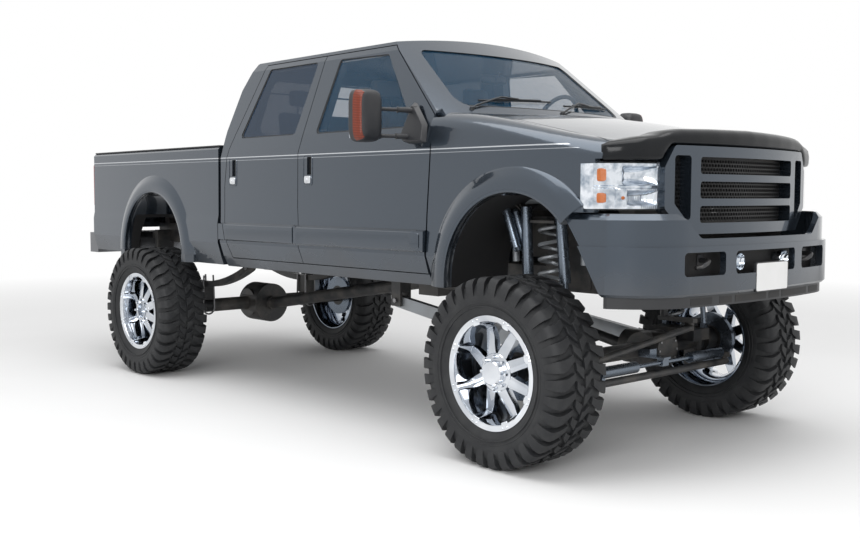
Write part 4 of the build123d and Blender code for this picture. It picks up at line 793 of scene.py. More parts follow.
# Seats: name, x, y, width
seat_plan = [
    ("front_right", front_seat_x, -front_seat_y, 0.500), ("front_left", front_seat_x, front_seat_y, 0.500),
    ("rear", axle_x - 2.560, 0.0, 1.360),
]
cushions = []
boxes = new_piece("seat_boxes", box_plastic)
work = bmesh.new()
for name, x, y, width in seat_plan:
    cushions.append((make_cushion(
        "seat_" + name, (x + 0.195, y, seat_floor + 0.335), (0.46, width - 0.03, 0.145), -3), 2))
    cushions.append((make_cushion(
        "backrest_" + name, (x - 0.055, y, seat_floor + 0.69), (0.075, width - 0.03, 0.58), -6.7), 0))
    add_block(
        work, (x - 0.05, y - width / 2 + 0.02, seat_floor),
        (x + 0.42, y + width / 2 - 0.02, seat_floor + 0.245),
    )
    heads = (-front_seat_y, front_seat_y) if name == "rear" else (y,)
    for number, head_y in enumerate(heads):
        cushions.append((make_cushion(
            "headrest_" + name + "_" + str(number), (x - 0.105, head_y, seat_floor + 1.078),
            (0.062, 0.23, 0.118), -4), 0))
        for post in (-0.05, 0.05):
            add_rod(
                work, (x - 0.10, head_y + post, seat_floor + 0.94),
                (x - 0.103, head_y + post, seat_floor + 1.05), 0.006, 10,
            )
finish_piece(boxes, work, "chassis", 30, 0.012)
blow_up([parts[0] for parts, face in cushions], cloth_pressure)
for (piece, middle, size, lean), face in cushions:
    if piece.name.endswith("_rear"):
        press_channels(piece, size, (-0.9, -0.62, -0.34, 0.34, 0.62, 0.9), 0.55, face)
    elif not piece.name.startswith("headrest"):
        press_channels(piece, size, (-0.66, -0.22, 0.22, 0.66), 0.5, face)
    turn = Matrix.Translation(middle) @ Matrix.Rotation(lean, 4, "Y")
    piece.data.transform(turn)
    fair = piece.modifiers.new("fair", "SUBSURF")
    fair.levels = 1
    fair.render_levels = 1
    piece.data.shade_smooth()
    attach(piece, "chassis")
    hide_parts("seats")

# Window seals. Black rubber round each pane, and a bright strip along the foot of each door
# window. Both are tubes laid on the pane's own edge.
seal_rubber = dusty("seal_rubber", colour(0.010, 0.010, 0.011), colour(0.05, 0.05, 0.05), 0.3, 0.5)
bright_trim = Finish("bright_trim", Metallic=1.0)
trim_place = bright_trim.place()[0]
trim_film = bright_trim.noise(trim_place, 14.0, 4.0)
bright_trim.blend(trim_film, colour(0.62, 0.64, 0.67), colour(0.80, 0.82, 0.84))
bright_trim.feed("Roughness", trim_film * 0.15 + 0.08)


def face_edges(node, facing, least=0.4):
    """Closed lines of points round the faces of a node that look one way."""
    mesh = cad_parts[node].data
    work = bmesh.new()
    work.from_mesh(mesh)
    bmesh.ops.remove_doubles(work, verts=work.verts, dist=0.0002)
    chosen = {face for face in work.faces if face.normal.dot(facing) > least}
    rim = [edge for edge in work.edges if sum(1 for face in edge.link_faces if face in chosen) == 1]
    beside = {}
    for edge in rim:
        for vertex in edge.verts:
            beside.setdefault(vertex, []).append(edge.other_vert(vertex))
    loops = []
    while beside:
        start = next(iter(beside))
        loop = [start]
        here = start
        while True:
            options = [vertex for vertex in beside.pop(here, []) if vertex in beside]
            if not options:
                break
            here = options[0]
            loop.append(here)
        if len(loop) > 3:
            loops.append([vertex.co.copy() for vertex in loop])
    work.free()
    return loops


def evened(loop, step=0.012):
    """The same closed line with points no closer than a step."""
    kept = [loop[0]]
    for point in loop[1:]:
        if (point - kept[-1]).length > step:
            kept.append(point)
    return kept


pane_rows = [
    ("glass_front_right", "door_fr", (0, -1, 0)), ("glass_rear_right", "door_rr", (0, -1, 0)),
    ("glass_front_left", "door_fl", (0, 1, 0)), ("glass_rear_left", "door_rl", (0, 1, 0)),
    ("cab_glass", "chassis", (0.62, 0, 0.78)), ("cab_glass", "chassis", (-1, 0, 0.2)),
]
for number, (pane, body, facing) in enumerate(pane_rows):
    seal = new_piece("seal_%d_%s" % (number, body), seal_rubber)
    work = bmesh.new()
    strips = []
    for loop in face_edges(pane, Vector(facing)):
        line = evened(loop)
        add_tube(work, line, 0.0065, 8, True)
        foot = min(point.z for point in line)
        run = [point + Vector((0, 0.002 * facing[1], -0.010)) for point in line if point.z < foot + 0.012]
        strips.append(sorted(run, key=lambda point: point.x))
    finish_piece(seal, work, body, 60)
    if body != "chassis":
        strip = new_piece("belt_trim_" + body, bright_trim)
        work = bmesh.new()
        for run in strips:
            add_tube(work, [run[0], run[-1]], 0.0062, 10)
        finish_piece(strip, work, body, 60)

# Mirrors. Black towing mirrors: a rounded head on two telescopic arms from a corner plate, with
# an amber lens at its outer edge and two panes behind.
amber = Finish("amber_lens", Specular_IOR_Level=0.35, Roughness=0.2)
amber_place = amber.place()[0]
amber_ribs = amber.ribs(amber_place, "Z", 34.0)
amber.blend(amber_ribs, colour(0.10, 0.018, 0.010), colour(0.22, 0.040, 0.018))
amber.bump(amber_ribs, 0.5, 0.0015)
mirror_pane = Finish("mirror_pane", Metallic=1.0)
pane_place = mirror_pane.place()[0]
pane_film = mirror_pane.noise(pane_place, 6.0, 2.0)
mirror_pane.blend(pane_film, colour(0.60, 0.64, 0.70), colour(0.68, 0.72, 0.78))
mirror_pane.feed("Roughness", pane_film * 0.03 + 0.01)
mirror_plastic = dusty(
    "mirror_plastic", colour(0.018, 0.019, 0.022), colour(0.04, 0.04, 0.042), 0.4, 0.38, 12.0
)

head_half = (0.091, 0.150)
head_x = axle_x - 0.905
head_y = 1.1545 + head_half[0]
head_z = 1.893
# Head stations: place along the truck, share of the half width, share of the half height
head_rows = [
    (-0.055, 0.95, 0.97), (-0.050, 1.0, 1.0), (-0.010, 1.0, 1.0), (0.018, 0.98, 0.985),
    (0.036, 0.92, 0.95), (0.048, 0.80, 0.88), (0.054, 0.60, 0.76), (0.055, 0.30, 0.5),
]


def squircle(angle, power):
    """Point on a square with round corners, within one unit."""
    c, s = math.cos(angle), math.sin(angle)
    return math.copysign(abs(c) ** (2 / power), c), math.copysign(abs(s) ** (2 / power), s)


def head_point(side, row, angle, grow=0.0):
    """Point on the mirror head's skin at a station and an angle, 0 outward and 90 degrees up."""
    x, wide, tall = row
    c, s = squircle(angle, 4.5)
    return Vector((
        head_x + x,
        side * (head_y + c * (head_half[0] * wide + grow)),
        head_z + s * (head_half[1] * tall + grow),
    ))


for side, word, body in ((-1, "right", "door_fr"), (1, "left", "door_fl")):
    head = new_piece("mirror_head_" + word, mirror_plastic)
    work = bmesh.new()
    turns = circle_turns(48)
    add_prism(work, [[head_point(side, row, turn) for turn in turns] for row in head_rows])
    for drop in (0.042, -0.112):
        root_y = 0.970 if drop < 0 else 0.945
        start = Vector((head_x + 0.075, side * root_y, head_z + drop))
        end = Vector((head_x + 0.005, side * (head_y - head_half[0] + 0.01), head_z + drop))
        middle = start.lerp(end, 0.45)
        add_rod(work, start, end, 0.0115, 20)
        add_rod(work, start, middle, 0.0165, 20)
        add_rod(work, middle, middle.lerp(end, 0.06), 0.0195, 20)
        add_rod(work, end.lerp(start, 0.1), end, 0.016, 20, 0.021)
        add_rod(work, start - Vector((0, 0, 0.024)), start + Vector((0, 0, 0.024)), 0.024, 20)
    sail = [
        (head_x - 0.006, 1.802), (head_x + 0.060, 1.986), (head_x + 0.090, 1.975),
        (head_x + 0.203, 1.846), (head_x + 0.212, 1.740), (head_x + 0.060, 1.738), (head_x + 0.010, 1.752),
    ]
    lower, upper = [], []
    for x, z in sail:
        lean = (z - 1.738) * 0.17
        lower.append(Vector((x, side * (0.972 - lean), z)))
        inward = Vector((head_x + 0.095 - x, 0, 1.83 - z)) * 0.16
        upper.append(Vector((x, side * (1.004 - lean), z)) + inward)
    add_prism(work, [lower, upper])
    finish_piece(head, work, body, 38, 0.004)
    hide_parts("mirror_" + word)
    lens = new_piece("mirror_lens_" + word, amber)
    work = bmesh.new()
    arc = [math.radians(-62 + 124 * k / 20) for k in range(21)]
    outer = [[head_point(side, row, turn, 0.0022) for turn in arc] for row in head_rows[2:6]]
    inner = [[head_point(side, row, turn, -0.002) for turn in arc] for row in head_rows[2:6]]
    add_prism(work, [first + list(reversed(second)) for first, second in zip(outer, inner)])
    finish_piece(lens, work, body, 40)
    panes = new_piece("mirror_panes_" + word, mirror_pane)
    work = bmesh.new()
    for low_share, high_share in ((-0.30, 0.90), (-0.90, -0.38)):
        mid_share = (low_share + high_share) / 2
        span = high_share - low_share
        loops = []
        for x in (-0.0605, -0.056):
            loops.append([
                Vector((
                    head_x + x,
                    side * (head_y + c * head_half[0] * 0.86),
                    head_z + head_half[1] * (mid_share + s * span / 2),
                ))
                for c, s in [squircle(turn, 6.0) for turn in turns]
            ])
        add_prism(work, loops)
    finish_piece(panes, work, body, 30)

# Front clip. The hood's stone deflector is a smooth thick shield that wraps the hood's edge and
# dips over the lamps. The grille frame has soft edges, and a hexagon mesh stands in its slots.
def front_of(node, y, z):
    """Foremost place of a CAD node at a width and a height."""
    found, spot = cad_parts[node].ray_cast(Vector((5.0, y, z)), Vector((-1, 0, 0)))[:2]
    return spot.x if found else None


def eased(value, low, high):
    """A smooth step from 0 at low to 1 at high."""
    share = min(1.0, max(0.0, (value - low) / (high - low)))
    return share * share * (3 - 2 * share)


def between(table, value):
    """Value read along a table of pairs, straight between its rows."""
    for (x0, y0), (x1, y1) in zip(table, table[1:]):
        if value <= x1:
            return y0 + (y1 - y0) * (value - x0) / (x1 - x0)
    return table[-1][1]


# Deflector plan: distance from the middle and place of its front face
shield_plan = [
    (0.0, 2.991), (0.15, 2.987), (0.3, 2.975), (0.45, 2.956), (0.6, 2.929), (0.7, 2.908), (0.8, 2.880),
    (0.86, 2.851), (0.905, 2.815), (0.94, 2.772), (0.958, 2.745),
]
shield_top = [
    (0.0, 1.779), (0.35, 1.774), (0.55, 1.768), (0.63, 1.757), (0.70, 1.735), (0.80, 1.722),
    (0.958, 1.690),
]
shield_foot_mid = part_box("grille_surround")[1].z + 0.004
shield_foot_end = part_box("head_lamps")[1].z + 0.008
shield_end = 0.958
shield_back = 2.737
# Section: distance behind the front face, height share from foot to top, rise above that height
shield_section = [
    (0.150, 1.0, 0.004), (0.090, 1.0, 0.008), (0.045, 1.0, 0.006), (0.018, 1.0, -0.003),
    (0.004, 1.0, -0.018), (-0.002, 0.55, 0.0), (0.0, 0.2, 0.0), (0.006, 0.0, 0.004),
    (0.014, 0.0, 0.0), (0.026, 0.0, 0.006), (0.034, 0.5, 0.0), (0.150, 0.9, -0.02),
]
shield = new_piece("hood_shield", smoke)
work = bmesh.new()
loops = []
shield_steps = 96
for step in range(shield_steps + 1):
    y = shield_end * (2 * step / shield_steps - 1)
    far = abs(y)
    front = between(shield_plan, far)
    top = between(shield_top, far)
    share = eased(far, 0.630, 0.715)
    foot = shield_foot_mid + (shield_foot_end - shield_foot_mid) * share
    end_drop = eased(far, 0.90, shield_end)
    loop = []
    for behind, level, rise in shield_section:
        x = max(front - behind * (1 - 0.75 * end_drop), shield_back - 0.01 * end_drop)
        z = foot + (top - foot) * level + rise
        loop.append(Vector((x, y, z - 0.010 * end_drop * level)))
    loops.append(loop)
add_prism(work, loops)
finish_piece(shield, work, "hood_lid", 50)
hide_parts("hood_deflector")


def cut_by(piece, cutter_work, name):
    """Takes a closed form out of a piece for good."""
    mesh = bpy.data.meshes.new(name)
    bmesh.ops.recalc_face_normals(cutter_work, faces=cutter_work.faces)
    cutter_work.to_mesh(mesh)
    cutter_work.free()
    cutter = bpy.data.objects.new(name, mesh)
    bpy.context.scene.collection.objects.link(cutter)
    cut = piece.modifiers.new("cut", "BOOLEAN")
    cut.operation = "DIFFERENCE"
    cut.object = cutter
    cut.solver = "EXACT"
    graph = bpy.context.evaluated_depsgraph_get()
    result = bpy.data.meshes.new_from_object(piece.evaluated_get(graph))
    piece.modifiers.clear()
    piece.data = result
    bpy.data.objects.remove(cutter)


def rounded_outline(corners, radius, steps=6):
    """A flat outline of (y, z) corners with each corner rounded by an arc."""
    points = []
    count = len(corners)
    for place, corner in enumerate(corners):
        here = Vector(corner)
        before = (Vector(corners[place - 1]) - here).normalized()
        after = (Vector(corners[(place + 1) % count]) - here).normalized()
        half = before.angle(after) / 2
        reach = radius / math.tan(half)
        middle = here + (before + after).normalized() * (radius / math.sin(half))
        first = here + before * reach - middle
        last = here + after * reach - middle
        for step in range(steps + 1):
            blend = first.lerp(last, step / steps).normalized() * radius
            points.append(middle + blend)
    return points


side_slot = [(0.516, 1.318), (0.548, 1.318), (0.626, 1.398), (0.626, 1.640), (0.516, 1.640)]
surround = new_piece("grille_frame", paint)
work = bmesh.new()
work.from_mesh(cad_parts["grille_surround"].data)
bmesh.ops.remove_doubles(work, verts=work.verts, dist=0.0002)
work.to_mesh(surround.data)
work.free()
for side in (-1, 1):
    outline = rounded_outline([(side * y, z) for y, z in side_slot], 0.018)
    work = bmesh.new()
    add_prism(work, [[Vector((x, y, z)) for y, z in outline] for x in (2.6, 3.2)])
    cut_by(surround, work, "slot_cutter")
work = bmesh.new()
work.from_mesh(surround.data)
bmesh.ops.dissolve_limit(work, angle_limit=math.radians(1.2), verts=work.verts, edges=work.edges)
surround.data.materials.clear()
surround.data.materials.append(paint.material)
finish_piece(surround, work, "chassis", 34, 0.007)
surround.modifiers["edges"].segments = 3
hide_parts("grille_surround")

mesh_plastic = dusty("mesh_black", colour(0.008, 0.008, 0.009), colour(0.035, 0.034, 0.033), 0.4, 0.42, 14.0)
hex_pitch = 0.0245
hex_wall = 0.0042
hex_deep = 0.010
hex_ratio = 0.866
hex_radius = hex_pitch / 2 / hex_ratio
# Rings of a cell: radius and how far it lies back
hex_rings = ((hex_radius, 0.0), (hex_radius - hex_wall, 0.0), (hex_radius - hex_wall, hex_deep))
mesh_margin = 0.012
mesh_low, mesh_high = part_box("grille_mesh")
mesh_mid_z = (mesh_low.z + mesh_high.z) / 2
mesh = new_piece("grille_hexagons", mesh_plastic)
work = bmesh.new()
columns = int((mesh_high.y - mesh_margin) / hex_pitch)
rows_up = int((mesh_high.z - mesh_mid_z - mesh_margin) / (hex_pitch * hex_ratio))
for row in range(-rows_up, rows_up + 1):
    for column in range(-columns, columns + 1):
        y = (column + (0.5 if row % 2 else 0.0)) * hex_pitch
        z = mesh_mid_z + row * hex_pitch * hex_ratio
        if abs(y) > mesh_high.y - hex_pitch / 2:
            continue
        x = front_of("grille_mesh", y, mesh_mid_z)
        rings = []
        for size, back in hex_rings:
            rings.append([
                work.verts.new((x - back, y + size * math.sin(turn), z + size * math.cos(turn)))
                for turn in [math.pi / 3 * k for k in range(6)]
            ])
        for first, second in zip(rings, rings[1:]):
            for k in range(6):
                work.faces.new((first[k], first[(k + 1) % 6], second[(k + 1) % 6], second[k]))
        work.faces.new(rings[2])
finish_piece(mesh, work, "chassis", 20)
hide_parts("grille_mesh")

# Head lamps. Behind each clear lens lies a bright relief with two bowls, fluted low down. Two
# stacked amber markers stand at its outer side, with a small amber bulb beside them.
reflector = Finish("lamp_reflector", Metallic=1.0)
bowl_place, bowl_sides = reflector.place()
bowl_flutes = reflector.ribs(bowl_place, "Y", 26.0)
bowl_film_and_reflection = reflector.noise(bowl_place, 20.0, 2.0)
# The reflector's colour holds painted reflection: cloudy dark blue-grey patches across its bright metal. The
# same noise also varies its roughness.
reflector.blend((bowl_film_and_reflection * 3.4 - 1.0).clamp(), colour(0.34, 0.40, 0.47), colour(0.84, 0.88, 0.93))
marker_amber = Finish("marker_amber", Specular_IOR_Level=0.35, Roughness=0.2)
marker_place = marker_amber.place()[0]
marker_ribs = marker_amber.ribs(marker_place, "Z", 60.0)
marker_amber.blend(marker_ribs, colour(0.40, 0.080, 0.012), colour(0.66, 0.20, 0.035))
marker_amber.bump(marker_ribs, 0.4, 0.001)
reflector.feed("Roughness", bowl_film_and_reflection * 0.08 + 0.04)
flute_top = 1.475
reflector.bump(bowl_flutes * (bowl_sides[2] < flute_top), 0.5, 0.003)
both_sides = ((-1, "right"), (1, "left"))
lamp_low, lamp_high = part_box("head_lamps")
lamp_mid_z = (lamp_low.z + lamp_high.z) / 2
# Lens plan: distance from the middle and place of its front face
lens_plan = [
    (0.6, 2.906), (0.7, 2.886), (0.75, 2.873), (0.80, 2.860), (0.85, 2.838), (0.885, 2.815),
    (0.92, 2.783), (0.95, 2.744), (0.976, 2.708),
]
# Bowls: middle y, middle z, half width, half height, depth
bowl_rows = [
    (0.785, lamp_mid_z + 0.052, 0.098, 0.046, 0.075),
    (0.775, lamp_mid_z - 0.058, 0.088, 0.036, 0.060),
]
# Markers: middle z, half height. Their loops: place behind the lens, half width, height drawn in
marker_rows = [(lamp_mid_z + 0.055, 0.032), (lamp_mid_z - 0.058, 0.025)]
marker_loops = ((0.016, 0.012, 0.0), (0.006, 0.0105, 0.003))
marker_y = 0.953
across_steps, up_steps = 64, 56
y_in, y_out = 0.668, 0.971
relief_back = 0.105
bulb_y, bulb_z = 0.876, lamp_mid_z - 0.058
bulb_x = between(lens_plan, bulb_y)


def lamp_depth(y, z):
    """How far the bright relief lies behind the lens at a place."""
    depth = 0.016
    for mid_y, mid_z, wide, tall, deep in bowl_rows:
        u = abs(y - mid_y) / wide
        v = abs(z - mid_z) / tall
        edge = max(0.0, 1 - max(u, v) ** 6)
        depth += deep * edge * (1 - 0.75 * (u * u * 0.6 + v * v * 0.4))
    if abs(z - lamp_mid_z + 0.004) < 0.0045 or abs(y - 0.902) < 0.003:
        depth += 0.012
    return depth


for side, word in both_sides:
    relief = new_piece("lamp_relief_" + word, reflector)
    work = bmesh.new()
    fronts, backs = [], []
    for step in range(across_steps + 1):
        y = y_in + (y_out - y_in) * step / across_steps
        lens_x = between(lens_plan, y)
        column = []
        for rise in range(up_steps + 1):
            z = lamp_low.z + 0.008 + (lamp_high.z - lamp_low.z - 0.016) * rise / up_steps
            column.append(Vector((lens_x - lamp_depth(y, z), side * y, z)))
        fronts.append(column)
        backs.append([Vector((lens_x - relief_back, side * y, end.z)) for end in (column[-1], column[0])])
    add_prism(work, [front + back for front, back in zip(fronts, backs)])
    finish_piece(relief, work, "chassis", 50)
    for number, (mark_z, mark_half) in enumerate(marker_rows):
        marker = new_piece("lamp_marker_%s_%d" % (word, number), marker_amber)
        work = bmesh.new()
        loops = []
        for behind, half_y, less in marker_loops:
            outline = []
            for c, s in [squircle(turn, 5.0) for turn in circle_turns(32)]:
                y = marker_y + c * half_y
                lens_x = between(lens_plan, y)
                outline.append(Vector((lens_x - behind, side * y, mark_z + s * (mark_half - less))))
            loops.append(outline)
        add_prism(work, loops)
        finish_piece(marker, work, "chassis", 40)
    bulbs = new_piece("lamp_bulbs_" + word, marker_amber)
    work = bmesh.new()
    bulb = [(bulb_x - back, side * bulb_y, bulb_z) for back in (0.05, 0.02, 0.012)]
    add_rod(work, bulb[0], bulb[1], 0.011, 20)
    add_rod(work, bulb[1], bulb[2], 0.011, 20, 0.005)
    finish_piece(bulbs, work, "chassis", 40, 0.002)

# Bumper. A dark liner behind its three openings, tow hooks in the outer ones, two round lamps in
# the middle one, and a blank plate in a thin frame. Dark boxes on the valance below stand for its slots, as
# painted shade.
liner_plastic = dusty("liner_black", colour(0.012, 0.012, 0.013), colour(0.06, 0.055, 0.05), 0.5, 0.6)
opening_z = 1.100
skin_z = 0.99
hook_y = 0.52
liner_half = 0.74
liner_steps = 48
liner = new_piece("bumper_liner", liner_plastic)
work = bmesh.new()
loops = []
for step in range(liner_steps + 1):
    y = -liner_half + 2 * liner_half * step / liner_steps
    skin_x = front_of("front_bumper", y, skin_z)
    loops.append([
        Vector((skin_x - 0.036, y, opening_z + 0.075)), Vector((skin_x - 0.085, y, opening_z + 0.070)),
        Vector((skin_x - 0.085, y, opening_z - 0.070)), Vector((skin_x - 0.036, y, opening_z - 0.075)),
        Vector((skin_x - 0.092, y, opening_z - 0.082)), Vector((skin_x - 0.092, y, opening_z + 0.082)),
    ])
add_prism(work, loops)
add_block(work, (2.800, -0.62, 1.185), (2.812, 0.62, 1.262))
finish_piece(liner, work, "chassis", 30)
# Hook line from the skin's place; round lamp rings: place from the skin, radius
hook_line = [
    (-0.085, 0.045, 0.012), (-0.045, 0.045, 0.014), (-0.018, 0.030, 0.012), (-0.010, 0.004, 0.002),
    (-0.018, -0.022, -0.012), (-0.040, -0.034, -0.020), (-0.055, -0.022, -0.018),
]
round_rings = [
    (-0.080, 0.036), (-0.050, 0.044), (-0.030, 0.046), (-0.026, 0.043), (-0.034, 0.040),
    (-0.056, 0.026), (-0.066, 0.010), (-0.045, 0.007), (-0.044, 0.001),
]
hook_steel = dusty("hook_steel", colour(0.045, 0.046, 0.05), road_dust, 0.3, 0.38, 20.0, Metallic=0.4)
for side, word in both_sides:
    hook = new_piece("tow_hook_" + word, hook_steel)
    work = bmesh.new()
    skin_x = front_of("front_bumper", side * hook_y, skin_z)
    add_tube(work, [(skin_x + x, side * hook_y + y, opening_z + z) for x, y, z in hook_line], 0.0125, 12)
    add_block(
        work, (skin_x - 0.088, side * hook_y + 0.02, opening_z - 0.02),
        (skin_x - 0.075, side * hook_y + 0.075, opening_z + 0.045),
    )
    finish_piece(hook, work, "chassis", 50, 0.003)
    round_lamp = new_piece("round_lamp_" + word, reflector)
    work = bmesh.new()
    lamp_y = side * 0.222
    skin_x = front_of("front_bumper", lamp_y, skin_z)
    turns = circle_turns(40)
    add_prism(work, [
        [Vector((skin_x + x, lamp_y + r * math.cos(t), opening_z + r * math.sin(t))) for t in turns]
        for x, r in round_rings
    ])
    finish_piece(round_lamp, work, "chassis", 45)

plate_white = Finish("plate_white", Roughness=0.45)
plate_place = plate_white.place()[0]
plate_film = plate_white.noise(plate_place, 8.0, 4.0)
plate_white.blend(plate_film, colour(0.80, 0.80, 0.79), colour(0.90, 0.90, 0.90))
plate_mid = Vector((0.0, 0.046, 1.014))
plate_half = (0.163, 0.079)
plate_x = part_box("front_bumper")[1].x - 0.0034


def plate_loops(half_y, half_z, depths, radius, middle):
    """Outlines of a thin rounded plate at several depths."""
    corners = [(half_y, -half_z), (half_y, half_z), (-half_y, half_z), (-half_y, -half_z)]
    flat = rounded_outline(corners, radius, 4)
    return [[Vector((x, middle.y + y, middle.z + z)) for y, z in flat] for x in depths]


plate = new_piece("blank_plate", plate_white)
work = bmesh.new()
plate_depths = (plate_x, plate_x + 0.0042)
add_prism(work, plate_loops(plate_half[0] - 0.006, plate_half[1] - 0.006, plate_depths, 0.010, plate_mid))
finish_piece(plate, work, "chassis", 30, 0.0006)
holder = new_piece("plate_frame", black_plastic)
work = bmesh.new()
holder_depths = (plate_x - 0.014, plate_x + 0.003)
add_prism(work, plate_loops(plate_half[0], plate_half[1], holder_depths, 0.014, plate_mid))
finish_piece(holder, work, "chassis", 30, 0.002)

# The slots are not cut. Each is a dark box laid just proud of the valance, painted shade where an opening
# would be.
slot_top, slot_mid, slot_foot = 0.930, 0.912, 0.895
slot_steps = 8
slot_shade_boxes = new_piece("valance_slot_shades", liner_plastic)
work = bmesh.new()
for start, end in ((-0.40, -0.30), (-0.27, 0.02), (0.05, 0.16), (0.19, 0.50), (-0.62, -0.46), (0.54, 0.68)):
    loops = []
    for step in range(slot_steps + 1):
        y = start + (end - start) * step / slot_steps
        skin_x = front_of("front_valance", y, slot_mid)
        loops.append([
            Vector((skin_x + 0.0012, y, slot_top)), Vector((skin_x + 0.0012, y, slot_foot)),
            Vector((skin_x - 0.004, y, slot_foot)), Vector((skin_x - 0.004, y, slot_top)),
        ])
    add_prism(work, loops)
finish_piece(slot_shade_boxes, work, "chassis", 30)

# Door trim. Each door has a bright latch and a dark handle pocket inside a thin painted ring,
# and a wide moulding along its foot that narrows at the front end of the front doors.
def side_of(node, x, z, side):
    """Outermost place of a CAD node at a length and a height."""
    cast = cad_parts[node].ray_cast
    for lift in (0.0, 0.02, 0.04, 0.06):
        found, spot = cast(Vector((x, side * 3.0, z + lift)), Vector((0, -side, 0)))[:2]
        if found:
            return abs(spot.y)
    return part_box(node)[1].y if side > 0 else -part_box(node)[0].y


pocket_black = dusty("pocket_black", colour(0.006, 0.006, 0.006), colour(0.02, 0.02, 0.02), 0.3, 0.5)
# Door rows: door node, body, handle's place behind the front axle, moulding's rear and front end
door_plan = [
    ("door_front_right", "door_fr", -1.823, -1.945, -0.712),
    ("door_front_left", "door_fl", -1.823, -1.945, -0.712),
    ("door_rear_right", "door_rr", -2.740, -2.820, -1.975),
    ("door_rear_left", "door_rl", -2.740, -2.820, -1.975),
]
latch_z = 1.540
moulding_low, moulding_high = 1.1065, 1.2400
# Moulding section: height share from foot to top, and how far it stands out from the door
moulding_section = (
    (0.0, -0.003), (0.05, 0.002), (0.13, 0.0045), (0.86, 0.0050), (0.95, 0.0025), (1.0, -0.003),
)
for node, body, handle_f, rear_f, front_f in door_plan:
    side = -1 if node.endswith("right") else 1
    handle_x = axle_x + handle_f
    latch = new_piece("latch_" + body, bright_trim)
    work = bmesh.new()
    latch_y = side_of(node, handle_x - 0.025, latch_z, side)
    loops = []
    for out, grow in ((-0.004, 0.0), (0.008, 0.0), (0.013, -0.006)):
        outline = rounded_outline([
            (handle_x - 0.044 - grow, 1.515 - grow), (handle_x + 0.022 + grow, 1.515 - grow),
            (handle_x + 0.022 + grow, 1.564 + grow), (handle_x - 0.044 - grow, 1.564 + grow),
        ], 0.010, 4)
        loops.append([Vector((x, side * (latch_y + out), z)) for x, z in outline])
    add_prism(work, loops)
    lock_x = handle_x - 0.012
    add_rod(work, (lock_x, side * latch_y, latch_z), (lock_x, side * (latch_y + 0.015), latch_z), 0.009, 20)
    finish_piece(latch, work, body, 40, 0.001)
    ring = new_piece("handle_ring_" + body, paint)
    work = bmesh.new()
    ring_line = rounded_outline([
        (handle_x - 0.062, 1.504), (handle_x + 0.036, 1.504),
        (handle_x + 0.036, 1.699), (handle_x - 0.062, 1.699),
    ], 0.018, 6)
    path = []
    for x, z in ring_line:
        skin = side_of(node, x, z, side)
        path.append(Vector((x, side * (skin + 0.0005), z)))
    add_tube(work, path, 0.0036, 8, True)
    finish_piece(ring, work, body, 60)
    pocket = new_piece("handle_pocket_" + body, pocket_black)
    work = bmesh.new()
    deep_y = side_of(node, handle_x, 1.63, side)
    add_block(
        work, (handle_x - 0.0225, min(side * deep_y, side * (deep_y + 0.022)), 1.573),
        (handle_x + 0.0225, max(side * deep_y, side * (deep_y + 0.022)), 1.687),
    )
    finish_piece(pocket, work, body, 30)

    moulding = new_piece("moulding_" + body, paint)
    work = bmesh.new()
    loops = []
    door_low, door_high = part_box(node)
    rear_x = max(axle_x + rear_f, door_low.x + 0.012)
    front_x = min(axle_x + front_f, door_high.x - 0.012)
    steps = 28
    for step in range(steps + 1):
        x = rear_x + (front_x - rear_x) * step / steps
        shrink = 0.0
        if "front" in node:
            shrink = eased(step / steps, 0.965, 1.0) * 0.022
        loop = []
        low, high = moulding_low + shrink, moulding_high - shrink
        for share, proud in moulding_section:
            z = low + (high - low) * share
            skin = side_of(node, x, z, side)
            loop.append(Vector((x, side * (skin + proud * (1 - shrink * 12)), z)))
        inner = side_of(node, x, (moulding_low + moulding_high) / 2, side)
        loop.append(Vector((x, side * (inner - 0.012), moulding_high - 0.02)))
        loop.append(Vector((x, side * (inner - 0.012), moulding_low + 0.02)))
        loops.append(loop)
    add_prism(work, loops)
    finish_piece(moulding, work, body, 40)

# Wipers. Two black arms with blades lie along the foot of the screen, each on a round pivot
# that stands up from the cowl.
screen_foot = 1.962
blade_steps = 12
wipers = new_piece("wipers", black_plastic)
work = bmesh.new()


def screen_place(y, up):
    """Place on the windscreen's outer face, a height above its foot, and the face's normal."""
    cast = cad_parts["cab_glass"].ray_cast
    return cast(Vector((4.0, y, screen_foot + up)), Vector((-1, 0, 0)))[1:3]


for start_y, end_y, pivot_y in ((-0.60, -0.02, -0.70), (0.08, 0.66, -0.02)):
    blade = []
    for step in range(blade_steps + 1):
        y = start_y + (end_y - start_y) * step / blade_steps
        spot, normal = screen_place(y, 0.035 + 0.020 * step / blade_steps)
        blade.append(spot + normal * 0.008)
    add_tube(work, blade, 0.0055, 8)
    add_tube(work, [point + Vector((0.004, 0, 0.006)) for point in blade[2:11]], 0.0060, 8)
    spot, normal = screen_place(pivot_y, 0.012)
    foot = spot + Vector((0.050, 0, -0.030))
    arm = [
        foot, foot + Vector((0.004, 0.03, 0.022)),
        blade[3] + Vector((0.020, 0, 0.020)), blade[6] + Vector((0.006, 0, 0.010)),
    ]
    add_tube(work, arm, 0.0062, 10)
    add_rod(work, foot - Vector((0, 0, 0.02)), foot + Vector((0.004, 0, 0.012)), 0.014, 20)
finish_piece(wipers, work, "chassis", 50)

# Front suspension detail. Remote reservoirs with clamps and hoses behind the shocks, a hoop tube
# over each tower, and a brake caliper on each knuckle.
hose_rubber = dusty("hose_rubber", colour(0.014, 0.014, 0.015), road_dust, 0.4, 0.6)


